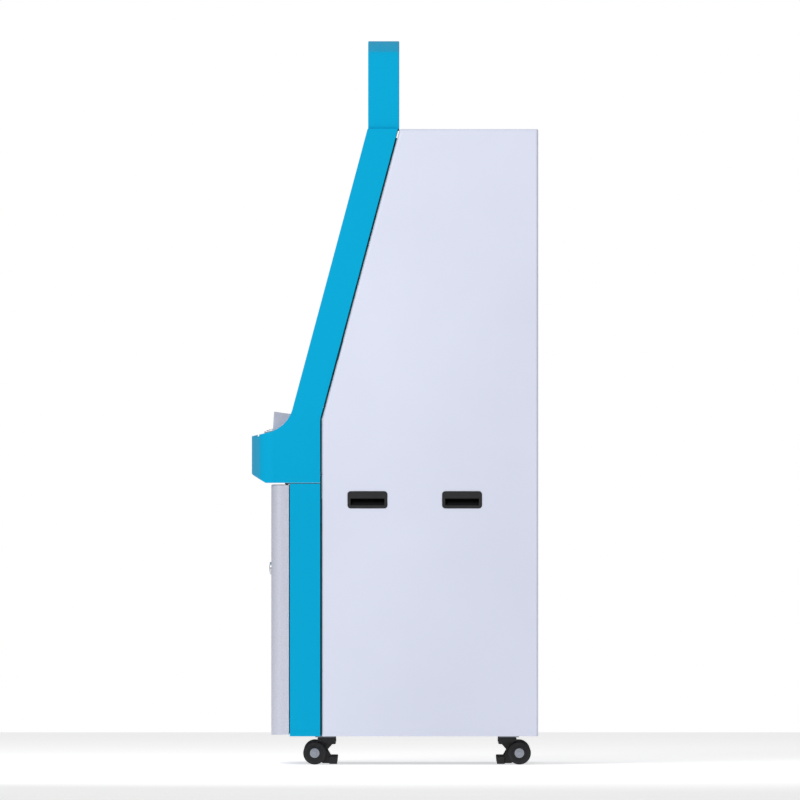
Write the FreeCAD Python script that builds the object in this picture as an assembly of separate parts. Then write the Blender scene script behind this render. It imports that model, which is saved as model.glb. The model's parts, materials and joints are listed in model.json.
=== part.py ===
"""Lobby cash machine: a tall steel cabinet on braked castors, with a cyan front that leans back.

Frame: +Z up, -Y towards the customer, +X to the customer's right.
The origin is on the floor, under the middle of the overall box. Units are millimetres.
"""
import FreeCAD, Part
import math
import os

from FreeCAD import Placement, Rotation, Vector

# ---------------------------------------------------------------- driving dimensions
FRONT_WIDTH = 600.0
OVERALL_DEPTH = 746.0
CREST_HEIGHT = 231.5
BODY_HEIGHT = 1653.0
CASTOR_HEADROOM = 14.0
BODY_INSET = 2.0
BODY_DEPTH = 562.0
FRONT_DEPTH = 79.0
FRONT_GAP = 5.0
TILT = 15.0
KINK_RISE = 44.0
KINK_RADIUS = 60.0
SEAM_HEIGHT = 733.0
SEAM_GAP = 2.0

PANEL_SHEET = 2.0
PANEL_FLANGE = 18.0
PANEL_BEND = 7.0
FRAME_CLEARANCE = 2.0
STEEL = 3.0
POST = 30.0
TRAY_THICK = 4.0
RING_DROP = 8.0
HINGE_ARM = 4.0

NOSE_HEIGHT = 99.0
NOSE_UNDERCUT = 22.0
NOSE_CHAMFER = 37.0
NOSE_CORNER = 38.0
NOSE_BOW = 26.0
SHELF_TILT = 13.0
SHELF_FILLET = 85.0
FRONT_WALL = 3.0
CHEEK_WIDTH = 34.0
TOP_RAIL = 36.0
FASCIA_RECESS = 12.0
SHELF_RECESS = 4.0
NOSE_RIM = 14.0
RECESS_CORNER = 6.0
NOSE_UNDER_RADIUS = 4.0
FASCIA_FLANGE = 16.0
FASCIA_SHEET = 4.0
FASCIA_FOOT = 14.0

DOOR_DEPTH = 46.0
DOOR_GAP = 2.0
DOOR_CORNER = 26.0
DOOR_SHEET = 2.0
DOOR_END_GAP = 4.0

SAFE_SIDE_GAP = 29.0
SAFE_WALL = 8.0
SAFE_HEADROOM = 43.0
SAFE_REAR_GAP = 53.0
SLAB_THICK = 20.0
SLAB_CLEARANCE = 3.0
STANDOFF_INSET = 20.0
STANDOFF_RADIUS = 9.0
STOP_WIDTH = 18.0
STOP_THICK = 8.0
BOLT_RADIUS = 7.0
BOLT_TRAVEL = 22.0
BOLT_INSET = 95.0
BOLT_BAR = 10.0
BOLT_GUIDE = 14.0
BOLT_CLEARANCE = 0.08
LOCK_X = 150.0
LOCK_RISE = 436.0
LOCK_RADIUS = 16.5
LOCK_PROUD = 4.5
SPINDLE_RADIUS = 6.0

HINGE_PIN_RADIUS = 3.0
PIN_CLEARANCE = 0.08
LOWER_AXIS_INSET = 8.0
UPPER_AXIS_INSET = 9.0
UPPER_HINGE_RISES = (19.0, 197.0)
REAR_AXIS_INSET = 4.0
REAR_FACE_INSET = 3.0
REAR_DOOR_DEPTH = 14.0
REAR_SWING_SPACE = 2.0
REAR_SILL_RISE = 126.0
SILL_SHEET = 2.0

HANDLE_LENGTH = 104.0
HANDLE_HEIGHT = 45.0
HANDLE_DEPTH = 27.0
HANDLE_CORNER = 8.5
HANDLE_FLANGE = 5.0
HANDLE_DROP = 44.0
HANDLE_YS = (-71.0, 175.0)

CREST_DEPTH = 81.0
CREST_RISE = 32.0
CREST_INSET = 6.0
CREST_CORNER = 10.0
CREST_EDGE = 2.5
CREST_WALL = 3.0
CREST_BORDER = 22.0

SCREEN_WIDTH = 424.0
SCREEN_HEIGHT = 348.0
SCREEN_S = 486.0
LCD_WIDTH = 380.0
LCD_HEIGHT = 304.0
LCD_DEPTH = 44.0

CAMERA_S = 700.0
CAMERA_RADIUS = 9.0
SPEAKER_X = 150.0
CARD_X = 158.0
CARD_HALF = (38.0, 24.0)
RECEIPT_X = -140.0
RECEIPT_HALF = (52.0, 22.0)
SLOTS_S = 226.0
CASH_S = 92.0
CASH_HALF = (116.0, 30.0)
BEZEL_PROUD = 9.0
BEZEL_RIM = 7.0
NECK_LENGTH = 8.0
SLIT = 3.0
SHUTTER_HALF = (90.0, 15.0)
SHUTTER_THICK = 3.0
SHUTTER_TRAVEL = 31.0
ROLL_RADIUS = 36.0
ROLL_HALF = 39.0
SPINDLE_ROLL_RADIUS = 5.0
FIT = 0.3

INLET = (170.0, 150.0, 28.0, 22.0)
REAR_LOCK_X = 232.0
REAR_LOCK_Z = 900.0

KEY_PITCH_X = 18.0
KEY_PITCH_Y = 14.5
KEY_WIDTH = 14.5
KEY_LENGTH = 11.5
KEY_CLEARANCE = 0.4
KEY_PROUD = 2.5
KEY_TRAVEL = 2.0
KEY_DEPTH = 7.0
PINPAD_PLATE = 5.0
PINPAD_BODY = 34.0
PINPAD_MARGIN = 4.0
PINPAD_START = 34.0
PINPAD_LEDGE = 3.0
HOOD_FRONT_HEIGHT = 53.5
HOOD_BACK_HEIGHT = 35.0
HOOD_WALL = 2.5
HOOD_START = 21.0
HOOD_LEAN = 16.0

CASTOR_X = 235.0
CASTOR_FRONT_Y = -181.0
CASTOR_REAR_Y = 297.0
WHEEL_RADIUS = 30.0
WHEEL_WIDTH = 12.0
WHEEL_OFFSET = 27.3
CASTOR_RIB = 10.0
AXLE_RADIUS = 4.0
CASTOR_PLATE = 52.0
CASTOR_PLATE_THICK = 3.0
PEDAL_ARM = 4.5
PEDAL_LIFT = 1.5

CASSETTE_WIDTH = 228.0
CASSETTE_HEIGHT = 112.0
CASSETTE_DEPTH = 360.0
CASSETTE_COUNT = 2
CASSETTE_RISE = 26.0
CASSETTE_GAP = 12.0
RAIL = 12.0
RAIL_SHEET = 2.0

COMPUTER_WIDTH = 250.0
COMPUTER_HEIGHT = 210.0
SUPPLY_WIDTH = 150.0
SUPPLY_HEIGHT = 120.0
COMPUTER_DEPTH = 170.0
COMPUTER_GAP = 30.0

# The chute and the anchor holes line up through the tray, the safe and the deck.
CHUTE_HALF = 78.0
CHUTE_Y = (-160.0, -110.0)
CHUTE_CLEARANCE = 3.0
CHUTE_WALL = 2.0
ANCHOR_X = 200.0
ANCHOR_YS = (-150.0, 200.0)
ANCHOR_RADIUS = 7.0

# ---------------------------------------------------------------- worked-out stations
HALF = FRONT_WIDTH / 2
BODY_HALF = HALF - BODY_INSET
CASTOR_HEIGHT = 2 * WHEEL_RADIUS + CASTOR_HEADROOM
NOSE_BOTTOM = SEAM_HEIGHT + NOSE_UNDERCUT
NOSE_TOP = NOSE_BOTTOM + NOSE_HEIGHT
KINK_HEIGHT = NOSE_TOP + KINK_RISE
HANDLE_Z = SEAM_HEIGHT - HANDLE_DROP
LOCK_Z = CASTOR_HEIGHT + LOCK_RISE
REAR_SILL_HEIGHT = CASTOR_HEIGHT + REAR_SILL_RISE
UPPER_HINGE_HEIGHTS = [SEAM_HEIGHT + rise for rise in UPPER_HINGE_RISES]
NOSE_Y = -OVERALL_DEPTH / 2
REAR_Y = OVERALL_DEPTH / 2
BODY_FRONT_Y = REAR_Y - BODY_DEPTH
FRAME_BACK_Y = BODY_FRONT_Y - FRONT_GAP
FRAME_FRONT_Y = FRAME_BACK_Y - FRONT_DEPTH
FRONT_TOP = BODY_HEIGHT + 0.5
LOWER_TOP = SEAM_HEIGHT - SEAM_GAP
INNER_HALF = BODY_HALF - PANEL_FLANGE - FRAME_CLEARANCE
FRAME_BACK = REAR_Y - REAR_FACE_INSET - REAR_DOOR_DEPTH - REAR_SWING_SPACE
TRAY_TOP = CASTOR_HEIGHT + TRAY_THICK
RING_TOP = BODY_HEIGHT - RING_DROP
RING_BOTTOM = RING_TOP - STEEL
TAN = math.tan(math.radians(TILT))
COS = math.cos(math.radians(TILT))
SIN = math.sin(math.radians(TILT))
RECESS_HALF = HALF - CHEEK_WIDTH

DOOR_BACK_Y = FRAME_FRONT_Y - DOOR_GAP
DOOR_FRONT_Y = DOOR_BACK_Y - DOOR_DEPTH
DOOR_BOTTOM = CASTOR_HEIGHT + DOOR_END_GAP
DOOR_TOP = LOWER_TOP - DOOR_END_GAP
LOWER_AXIS = (-HALF + LOWER_AXIS_INSET, DOOR_BACK_Y - LOWER_AXIS_INSET)
UPPER_AXIS = (-HALF + UPPER_AXIS_INSET, FRAME_BACK_Y - UPPER_AXIS_INSET)
REAR_DOOR_HALF = BODY_HALF - PANEL_FLANGE - FRAME_CLEARANCE
REAR_DOOR_Y = REAR_Y - REAR_FACE_INSET
REAR_AXIS = (-REAR_DOOR_HALF + REAR_AXIS_INSET, REAR_DOOR_Y - REAR_AXIS_INSET)

SAFE_HALF = INNER_HALF - STEEL - SAFE_SIDE_GAP
SAFE_INNER = SAFE_HALF - SAFE_WALL
SAFE_FRONT_Y = FRAME_FRONT_Y + 11.0
SAFE_BACK_Y = FRAME_BACK - SAFE_REAR_GAP
SAFE_TOP = SEAM_HEIGHT - SAFE_HEADROOM
DECK_Z = max(SAFE_TOP, HANDLE_Z + HANDLE_HEIGHT / 2) + 4.0
SLAB_Y0 = SAFE_FRONT_Y + 2.0
SLAB_Y1 = SLAB_Y0 + SLAB_THICK
STOP_Y = SLAB_Y1 + 2.0
SLAB_Z0 = TRAY_TOP + SAFE_WALL + SLAB_CLEARANCE
SLAB_Z1 = SAFE_TOP - SAFE_WALL - SLAB_CLEARANCE
BOLT_HEIGHTS = (SLAB_Z0 + BOLT_INSET, (SLAB_Z0 + SLAB_Z1) / 2, SLAB_Z1 - BOLT_INSET)
BOLT_Y = STOP_Y + STOP_THICK + BOLT_RADIUS + 3.0
BOLT_TIP = SAFE_INNER - STOP_WIDTH - 10.0
GUIDE_X1 = BOLT_TIP - 4.0
GUIDE_X0 = GUIDE_X1 - BOLT_GUIDE
BOLT_BAR_X = GUIDE_X0 - BOLT_TRAVEL - 1.5 - BOLT_BAR

# ---------------------------------------------------------------- helpers
def box(x0, x1, y0, y1, z0, z1):
    """A box between two corners."""
    return Part.makeBox(x1 - x0, y1 - y0, z1 - z0, Vector(x0, y0, z0))


def rod(x, y, z, radius, length, axis):
    """A cylinder that starts at a point and runs along an axis vector."""
    return Part.makeCylinder(radius, length, Vector(x, y, z), Vector(*axis))


def rounded_face(corners, place):
    """A flat face from corners (a, b, radius), rounded with tangent arcs; place turns (a, b) into a point."""
    points = [place(c[0], c[1]) for c in corners]
    radii = [c[2] if len(c) > 2 else 0.0 for c in corners]
    count = len(points)
    arcs = []
    for i, corner in enumerate(points):
        back = (points[i - 1] - corner).normalize()
        ahead = (points[(i + 1) % count] - corner).normalize()
        if radii[i] <= 0.0:
            arcs.append((corner, corner, corner))
            continue
        half = back.getAngle(ahead) / 2
        reach = radii[i] / math.tan(half)
        middle = (back + ahead).normalize()
        away = radii[i] / math.sin(half) - radii[i]
        arcs.append((corner + back * reach, corner + middle * away, corner + ahead * reach))
    edges = []
    for i, (start, middle, end) in enumerate(arcs):
        if (end - start).Length > 1e-6:
            edges.append(Part.Arc(start, middle, end).toShape())
        following = arcs[(i + 1) % count][0]
        if (following - end).Length > 1e-6:
            edges.append(Part.LineSegment(end, following).toShape())
    return Part.Face(Part.Wire(edges))


def side_extrusion(corners, x0, x1):
    """An outline of (y, z, radius) corners swept along X."""
    return rounded_face(corners, lambda y, z: Vector(x0, y, z)).extrude(Vector(x1 - x0, 0, 0))


def front_extrusion(corners, y0, y1):
    """An outline of (x, z, radius) corners swept along Y."""
    return rounded_face(corners, lambda x, z: Vector(x, y0, z)).extrude(Vector(0, y1 - y0, 0))


def plan_extrusion(corners, z0, z1):
    """An outline of (x, y, radius) corners swept along Z."""
    return rounded_face(corners, lambda x, y: Vector(x, y, z0)).extrude(Vector(0, 0, z1 - z0))


def rectangle(a0, a1, b0, b1, radius):
    """The four corners of a rounded rectangle."""
    return [(a0, b0, radius), (a1, b0, radius), (a1, b1, radius), (a0, b1, radius)]


def rounded_block(x0, x1, y0, y1, z0, z1, radius):
    """A block whose corners are rounded as seen from the front."""
    return front_extrusion(rectangle(x0, x1, z0, z1, radius), y0, y1)


def offset(corners, steps):
    """Corners moved inwards; steps holds one distance for each side, the side that starts at that corner."""
    count = len(corners)
    area = sum(
        corners[i][0] * corners[(i + 1) % count][1] - corners[(i + 1) % count][0] * corners[i][1]
        for i in range(count)
    )
    turn = 1.0 if area > 0 else -1.0
    lines = []
    for i in range(count):
        (a0, b0), (a1, b1) = corners[i][:2], corners[(i + 1) % count][:2]
        length = math.hypot(a1 - a0, b1 - b0)
        da, db = (a1 - a0) / length, (b1 - b0) / length
        lines.append((a0 - turn * db * steps[i], b0 + turn * da * steps[i], da, db))
    moved = []
    for i in range(count):
        a0, b0, da0, db0 = lines[i - 1]
        a1, b1, da1, db1 = lines[i]
        cross = da0 * db1 - db0 * da1
        t = ((a1 - a0) * db1 - (b1 - b0) * da1) / cross
        convex = cross * turn > 0
        radius = corners[i][2] if len(corners[i]) > 2 else 0.0
        if radius > 0:
            radius += -steps[i] if convex else steps[i]
        moved.append((a0 + da0 * t, b0 + db0 * t, max(radius, 0.0)))
    return moved


def cut(shape, *tools):
    """A shape with the tools taken away."""
    for tool in tools:
        shape = shape.cut(tool)
    return shape.removeSplitter()


def join(*shapes):
    """One solid made of overlapping or touching shapes."""
    joined = shapes[0]
    for shape in shapes[1:]:
        joined = joined.fuse(shape)
    return joined.removeSplitter()


def mirrored(shape):
    """The same shape on the other side of the middle plane."""
    return shape.mirror(Vector(0, 0, 0), Vector(1, 0, 0))


def rounded_edges(shape, radius, wanted):
    """A shape with the edges that wanted(edge) picks rounded off."""
    picked = [e for e in shape.Edges if wanted(e)]
    return shape.makeFillet(radius, picked) if picked else shape


def along(edge, axis):
    """True for a straight edge along the X, Y or Z axis."""
    first, last = edge.Vertexes[0].Point, edge.Vertexes[-1].Point
    run = last - first
    others = [k for k in range(3) if k != axis]
    return edge.Length > 0.5 and all(abs(run[k]) < 1e-4 for k in others) and abs(run[axis]) > 1e-3


def save(name, *solids):
    """Writes one node, which may hold several separate solids."""
    shape = solids[0] if len(solids) == 1 else Part.makeCompound(list(solids))
    shape.exportStep(os.path.join("parts", name + ".step"))


# ---------------------------------------------------------------- lines of the side view
def body_front(z):
    """Y of the cabinet's front edge at a height above the kink."""
    return BODY_FRONT_Y + (z - KINK_HEIGHT) * TAN


def leaning_back(z):
    """Y of the leaning front's back edge."""
    return body_front(z) - FRONT_GAP / COS


def leaning_front(z):
    """Y of the leaning front's face."""
    return leaning_back(z) - FRONT_DEPTH


def shelf_meets_front():
    """Where the shelf's line runs into the leaning face."""
    rise = math.tan(math.radians(SHELF_TILT))
    z = (NOSE_TOP + (leaning_front(0.0) - NOSE_Y) * rise) / (1 - TAN * rise)
    return leaning_front(z), z


KINK_BACK_Z = KINK_HEIGHT + FRONT_GAP * math.tan(math.radians(TILT / 2))
SHELF_Y, SHELF_Z = shelf_meets_front()
CHAMFER_Y = NOSE_Y + NOSE_CHAMFER

UPPER_OUTLINE = [
    (FRAME_BACK_Y, SEAM_HEIGHT, 0.0),
    (FRAME_BACK_Y, KINK_BACK_Z, KINK_RADIUS + FRONT_GAP),
    (leaning_back(FRONT_TOP), FRONT_TOP, 0.0),
    (leaning_front(FRONT_TOP), FRONT_TOP, 0.0),
    (SHELF_Y, SHELF_Z, SHELF_FILLET),
    (NOSE_Y, NOSE_TOP, 0.0),
    (NOSE_Y, NOSE_BOTTOM, 0.0),
    (CHAMFER_Y, SEAM_HEIGHT, 0.0),
]

# Fascia frame: local X is X, local Z runs up the slope, local Y runs into the machine.
FASCIA_BASE_Z = NOSE_TOP + 26.0
FASCIA_ORIGIN = Vector(
    0,
    leaning_front(FASCIA_BASE_Z) + FASCIA_RECESS * COS,
    FASCIA_BASE_Z - FASCIA_RECESS * SIN,
)
FASCIA = Placement(FASCIA_ORIGIN, Rotation(Vector(1, 0, 0), -TILT))
FASCIA_LENGTH = (FRONT_TOP - TOP_RAIL - FASCIA_ORIGIN.z) / COS
PANEL_W0 = FRONT_WALL
PANEL_W1 = FRONT_WALL + FASCIA_SHEET
NECK_W1 = PANEL_W1 + NECK_LENGTH
SHUTTER_W = PANEL_W1 + 2.0
ROLL_W = PANEL_W1 + 140.0
ROLL_S = SLOTS_S + 14.0

# Shelf frame: local Y runs up the shelf from the nose, local Z stands out of it.
SHELF = Placement(Vector(0, NOSE_Y, NOSE_TOP), Rotation(Vector(1, 0, 0), SHELF_TILT))


def on_fascia(shape):
    """Moves a shape from the fascia frame to the machine's frame."""
    placed = shape.copy()
    placed.Placement = FASCIA.multiply(placed.Placement)
    return placed


def on_shelf(shape):
    """Moves a shape from the shelf frame to the machine's frame."""
    placed = shape.copy()
    placed.Placement = SHELF.multiply(placed.Placement)
    return placed


# ---------------------------------------------------------------- cabinet
def post_strip(near, far, x0, x1):
    """Two flat lengths of a front post, mitred at the kink, between two distances behind the front edge."""
    half_turn = math.tan(math.radians(TILT / 2))

    def foot(distance):
        return (BODY_FRONT_Y + distance, TRAY_TOP)

    def mitre(distance):
        return (BODY_FRONT_Y + distance, KINK_HEIGHT - distance * half_turn)

    def head(distance):
        return (body_front(RING_BOTTOM) + distance / COS, RING_BOTTOM)

    return [
        side_extrusion([foot(near), mitre(near), mitre(far), foot(far)], x0, x1),
        side_extrusion([mitre(near), head(near), head(far), mitre(far)], x0, x1),
    ]


def castor_plates():
    """The four bolted castor plates, each with the collar that its castor turns on."""
    plates = []
    for x, y in castor_places():
        half = CASTOR_PLATE / 2
        z1 = CASTOR_HEIGHT
        z0 = z1 - CASTOR_PLATE_THICK
        corners = rectangle(x - half, x + half, y - half, y + half, 6.0)
        plate = plan_extrusion(corners, z0, z1)
        collar = rod(x, y, z0 - 4.0, 9.0, 5.0, (0, 0, 1))
        plates.append(join(plate, collar))
    return plates


def castor_places():
    """The swivel axes on the floor plan."""
    return [(sx * CASTOR_X, y) for y in (CASTOR_FRONT_Y, CASTOR_REAR_Y) for sx in (-1, 1)]


def cabinet_frame():
    """The welded frame, one solid for each bar and plate, which meet face to face."""
    tray = box(-INNER_HALF, INNER_HALF, FRAME_FRONT_Y + 4.0, REAR_DOOR_Y, CASTOR_HEIGHT, TRAY_TOP)
    bars = [cut(tray, *anchor_holes())]
    posts = []
    ring_front = body_front(RING_TOP) + STEEL
    for side in (-1, 1):
        flange = sorted((side * INNER_HALF, side * (INNER_HALF - POST)))
        web = sorted((side * INNER_HALF, side * (INNER_HALF - STEEL)))
        posts += post_strip(STEEL, 2 * STEEL, *flange)
        posts += post_strip(2 * STEEL, POST, *web)
        bars.append(box(*flange, FRAME_BACK - STEEL, FRAME_BACK, TRAY_TOP, RING_BOTTOM))
        bars.append(box(*web, FRAME_BACK - POST, FRAME_BACK - STEEL, TRAY_TOP, RING_BOTTOM))
        bars.append(box(*flange, ring_front, FRAME_BACK, RING_BOTTOM, RING_TOP))
    bars += posts
    across = INNER_HALF - POST
    bars.append(box(-across, across, ring_front + STEEL, ring_front + STEEL + POST, RING_BOTTOM, RING_TOP))
    bars.append(box(-across, across, FRAME_BACK - POST, FRAME_BACK, RING_BOTTOM, RING_TOP))
    between = INNER_HALF - STEEL
    deck = box(-between, between, BODY_FRONT_Y + 2 * STEEL, FRAME_BACK - STEEL, DECK_Z, DECK_Z + STEEL)
    bars.append(cut(deck, chute_hole(DECK_Z - 1, DECK_Z + STEEL + 1)))
    sill_front = REAR_DOOR_Y - SILL_SHEET
    sill = box(-INNER_HALF, INNER_HALF, sill_front, REAR_DOOR_Y, TRAY_TOP, REAR_SILL_HEIGHT)
    bars.append(cut(sill, inlet_hole()))
    shelf_z = REAR_SILL_HEIGHT - STEEL
    bars.append(box(-INNER_HALF, INNER_HALF, FRAME_BACK, sill_front, shelf_z, REAR_SILL_HEIGHT))
    bars += [cut(hinge_arm(z), *posts) for z in UPPER_HINGE_HEIGHTS]
    bars.append(rear_lug())
    return bars


def anchor_holes():
    """Bores through the tray and the safe's floor for floor anchors."""
    z0 = CASTOR_HEIGHT - 1.0
    length = TRAY_TOP + SAFE_WALL + 1.0 - z0
    return [
        rod(sx * ANCHOR_X, y, z0, ANCHOR_RADIUS, length, (0, 0, 1))
        for sx in (-1, 1)
        for y in ANCHOR_YS
    ]


def chute_hole(z0, z1):
    """The slot that the note chute passes through."""
    half = CHUTE_HALF + CHUTE_CLEARANCE
    return box(-half, half, CHUTE_Y[0] - CHUTE_CLEARANCE, CHUTE_Y[1] + CHUTE_CLEARANCE, z0, z1)


def inlet_hole():
    """The cut-out for the mains inlet in the rear sill."""
    x, z, half_x, half_z = INLET
    return box(x - half_x, x + half_x, REAR_DOOR_Y - 6, REAR_DOOR_Y + 2, z - half_z, z + half_z)


def mains_inlet():
    """A panel-mount appliance inlet with a rim and three blades."""
    x, z, half_x, half_z = INLET
    seat = REAR_DOOR_Y
    face = seat + 2.5
    rim = rounded_block(x - half_x - 5, x + half_x + 5, seat, face, z - half_z - 5, z + half_z + 5, 4.0)
    tub = rounded_block(
        x - half_x + FIT, x + half_x - FIT, seat - 26, seat, z - half_z + FIT, z + half_z - FIT, 2.0
    )
    pocket = rounded_block(x - 14, x + 14, seat - 20, face + 1, z - 11, z + 11, 5.0)
    body = cut(join(rim, tub), pocket)
    blades = [
        box(x + dx - 1, x + dx + 1, seat - 21, seat - 4, z + dz - 3, z + dz + 3)
        for dx, dz in ((-7, -2), (0, 4), (7, -2))
    ]
    return join(body, *blades)


def hinge_arm(z):
    """An arm of the upper door's hinge, reaching from the post round the side panel's flange to the pin."""
    x, y = UPPER_AXIS
    back = (body_front(z) if z > KINK_HEIGHT else BODY_FRONT_Y) + 2 * STEEL
    root = -INNER_HALF
    corners = [
        (root, back),
        (root, y + 9.0, 3.0),
        (x - 5.5, y + 9.0),
        (x - 5.5, y - 6.0, 5.0),
        (root + 16.0, y - 6.0, 5.0),
        (root + 16.0, back),
    ]
    return plan_extrusion(corners, z, z + HINGE_ARM)


def rear_lug():
    """The lug behind the top ring that carries the rear door's upper pin."""
    x, y = REAR_AXIS
    return box(x - 2.0, x + 12.0, FRAME_BACK, y + 3.5, RING_BOTTOM, RING_TOP)


def panel_outline():
    """The side panel's outline in the side view."""
    return [
        (BODY_FRONT_Y, CASTOR_HEIGHT, 0.0),
        (BODY_FRONT_Y, KINK_HEIGHT, KINK_RADIUS),
        (body_front(BODY_HEIGHT), BODY_HEIGHT, 4.0),
        (REAR_Y, BODY_HEIGHT, 4.0),
        (REAR_Y, CASTOR_HEIGHT, 0.0),
    ]


def side_panel():
    """The +X side panel: a pan with flanges turned in at the front, top and back."""
    outline = panel_outline()
    outer_x = BODY_HALF
    inner_x = BODY_HALF - PANEL_FLANGE
    pan = side_extrusion(outline, inner_x, outer_x)
    pan = rounded_edges(pan, PANEL_BEND, lambda e: on_plane(e, outer_x) and not on_floor_line(e))
    steps = [PANEL_SHEET, PANEL_SHEET, PANEL_SHEET, PANEL_SHEET, -5.0]
    hollow = side_extrusion(offset(outline, steps), inner_x - 1.0, outer_x - PANEL_SHEET)
    bend = PANEL_BEND - PANEL_SHEET
    hollow = rounded_edges(
        hollow, bend, lambda e: on_plane(e, outer_x - PANEL_SHEET) and not on_floor_line(e)
    )
    return cut(pan, hollow, *[handle_hole(y) for y in HANDLE_YS])


def on_plane(edge, x):
    """True for an edge that lies wholly at one X."""
    box_of_edge = edge.BoundBox
    return abs(box_of_edge.XMin - x) < 1e-4 and abs(box_of_edge.XMax - x) < 1e-4


def on_floor_line(edge):
    """True for the panel's bottom edge, which has no flange."""
    return edge.BoundBox.ZMax < CASTOR_HEIGHT + 1.0


def handle_hole(y):
    """The cut-out that a carry handle's cup drops into."""
    half_l = HANDLE_LENGTH / 2 - HANDLE_FLANGE
    half_h = HANDLE_HEIGHT / 2 - HANDLE_FLANGE
    corners = rectangle(y - half_l, y + half_l, HANDLE_Z - half_h, HANDLE_Z + half_h, 4.0)
    return side_extrusion(corners, BODY_HALF - 8.0, BODY_HALF + 2.0)


def carry_handle(y):
    """A recessed grip: a cup behind a thin flange, with a lip to pull on over its upper third."""
    face = BODY_HALF + 1.5
    half_l, half_h = HANDLE_LENGTH / 2, HANDLE_HEIGHT / 2
    rim = rectangle(y - half_l, y + half_l, HANDLE_Z - half_h, HANDLE_Z + half_h, HANDLE_CORNER)
    flange = side_extrusion(rim, BODY_HALF, face)
    flange = rounded_edges(flange, 1.0, lambda e: on_plane(e, face))
    cup_l, cup_h = half_l - HANDLE_FLANGE - FIT, half_h - HANDLE_FLANGE - FIT
    back = BODY_HALF - HANDLE_DEPTH
    cup = side_extrusion(
        rectangle(y - cup_l, y + cup_l, HANDLE_Z - cup_h, HANDLE_Z + cup_h, 3.7), back, BODY_HALF
    )
    low, high, lip = HANDLE_Z - cup_h + 2.5, HANDLE_Z + cup_h - 2.5, HANDLE_Z + 3.5
    section = [
        (face + 1.0, low),
        (face - 4.0, low, 2.0),
        (back + 3.0, HANDLE_Z + 2.0, 8.0),
        (back + 3.0, high, 4.0),
        (BODY_HALF - 4.0, high, 3.0),
        (BODY_HALF - 4.0, lip, 1.2),
        (face + 1.0, lip),
    ]
    run = cup_l - 2.5
    pocket = rounded_face(section, lambda x, z: Vector(x, y - run, z)).extrude(Vector(0, 2 * run, 0))
    return cut(join(flange, cup), pocket)


def top_cover():
    """The lid between the side panels, with edges turned down onto the top ring."""
    half = BODY_HALF - PANEL_FLANGE - 0.5
    y0, y1 = body_front(BODY_HEIGHT) + 6.0, REAR_Y - 4.0
    z0 = RING_TOP
    lid = box(-half, half, y0, y1, z0, BODY_HEIGHT)
    lid = rounded_edges(lid, 1.5, lambda e: e.BoundBox.ZMin > BODY_HEIGHT - 0.01)
    hollow = box(-half + 1.5, half - 1.5, y0 + 1.5, y1 - 1.5, z0 - 1, BODY_HEIGHT - 1.5)
    return cut(lid, hollow)


# ---------------------------------------------------------------- lower front, safe and its door
def lower_front_frame():
    """The cyan surround of the lower door, a shell open to the back, with the lower hinge lugs."""
    shell = box(-HALF, HALF, FRAME_FRONT_Y, FRAME_BACK_Y, CASTOR_HEIGHT, LOWER_TOP)
    shell = rounded_edges(
        shell, 2.0, lambda e: along(e, 2) and e.BoundBox.YMin < FRAME_FRONT_Y + 0.1
    )
    wall = 2.0
    half, y0, y1 = HALF - wall, FRAME_FRONT_Y + wall, FRAME_BACK_Y + 1
    inner = box(-half, half, y0, y1, TRAY_TOP + wall, LOWER_TOP - wall)
    under = box(-half, half, y0, y1, CASTOR_HEIGHT - 1, TRAY_TOP)
    opening = box(
        -SAFE_HALF - 4, SAFE_HALF + 4, FRAME_FRONT_Y - 1, FRAME_BACK_Y + 1, TRAY_TOP - 1, SAFE_TOP + 4
    )
    return join(cut(shell, inner, under, opening), *lower_lugs())


def lower_lugs():
    """Two tabs in front of the surround, over and under the door, that carry its pins."""
    x, y = LOWER_AXIS
    lugs = []
    for z in (CASTOR_HEIGHT, LOWER_TOP - STEEL):
        lugs.append(box(x - 5.0, x + 7.0, y - 5.0, FRAME_FRONT_Y + 1.0, z, z + STEEL))
    return lugs


def hinge_pins():
    """The pins of the three doors, two each."""
    pins = []
    x, y = LOWER_AXIS
    length = DOOR_END_GAP + 12.0 - STEEL
    pins.append(rod(x, y, CASTOR_HEIGHT + STEEL, HINGE_PIN_RADIUS, length, (0, 0, 1)))
    pins.append(rod(x, y, LOWER_TOP - STEEL, HINGE_PIN_RADIUS, length, (0, 0, -1)))
    x, y = UPPER_AXIS
    for z in UPPER_HINGE_HEIGHTS:
        pins.append(rod(x, y, z + HINGE_ARM, HINGE_PIN_RADIUS, 18.0, (0, 0, 1)))
    x, y = REAR_AXIS
    pins.append(rod(x, y, REAR_SILL_HEIGHT, HINGE_PIN_RADIUS, 12.0, (0, 0, 1)))
    pins.append(rod(x, y, RING_BOTTOM, HINGE_PIN_RADIUS, 12.0, (0, 0, -1)))
    return pins


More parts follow.
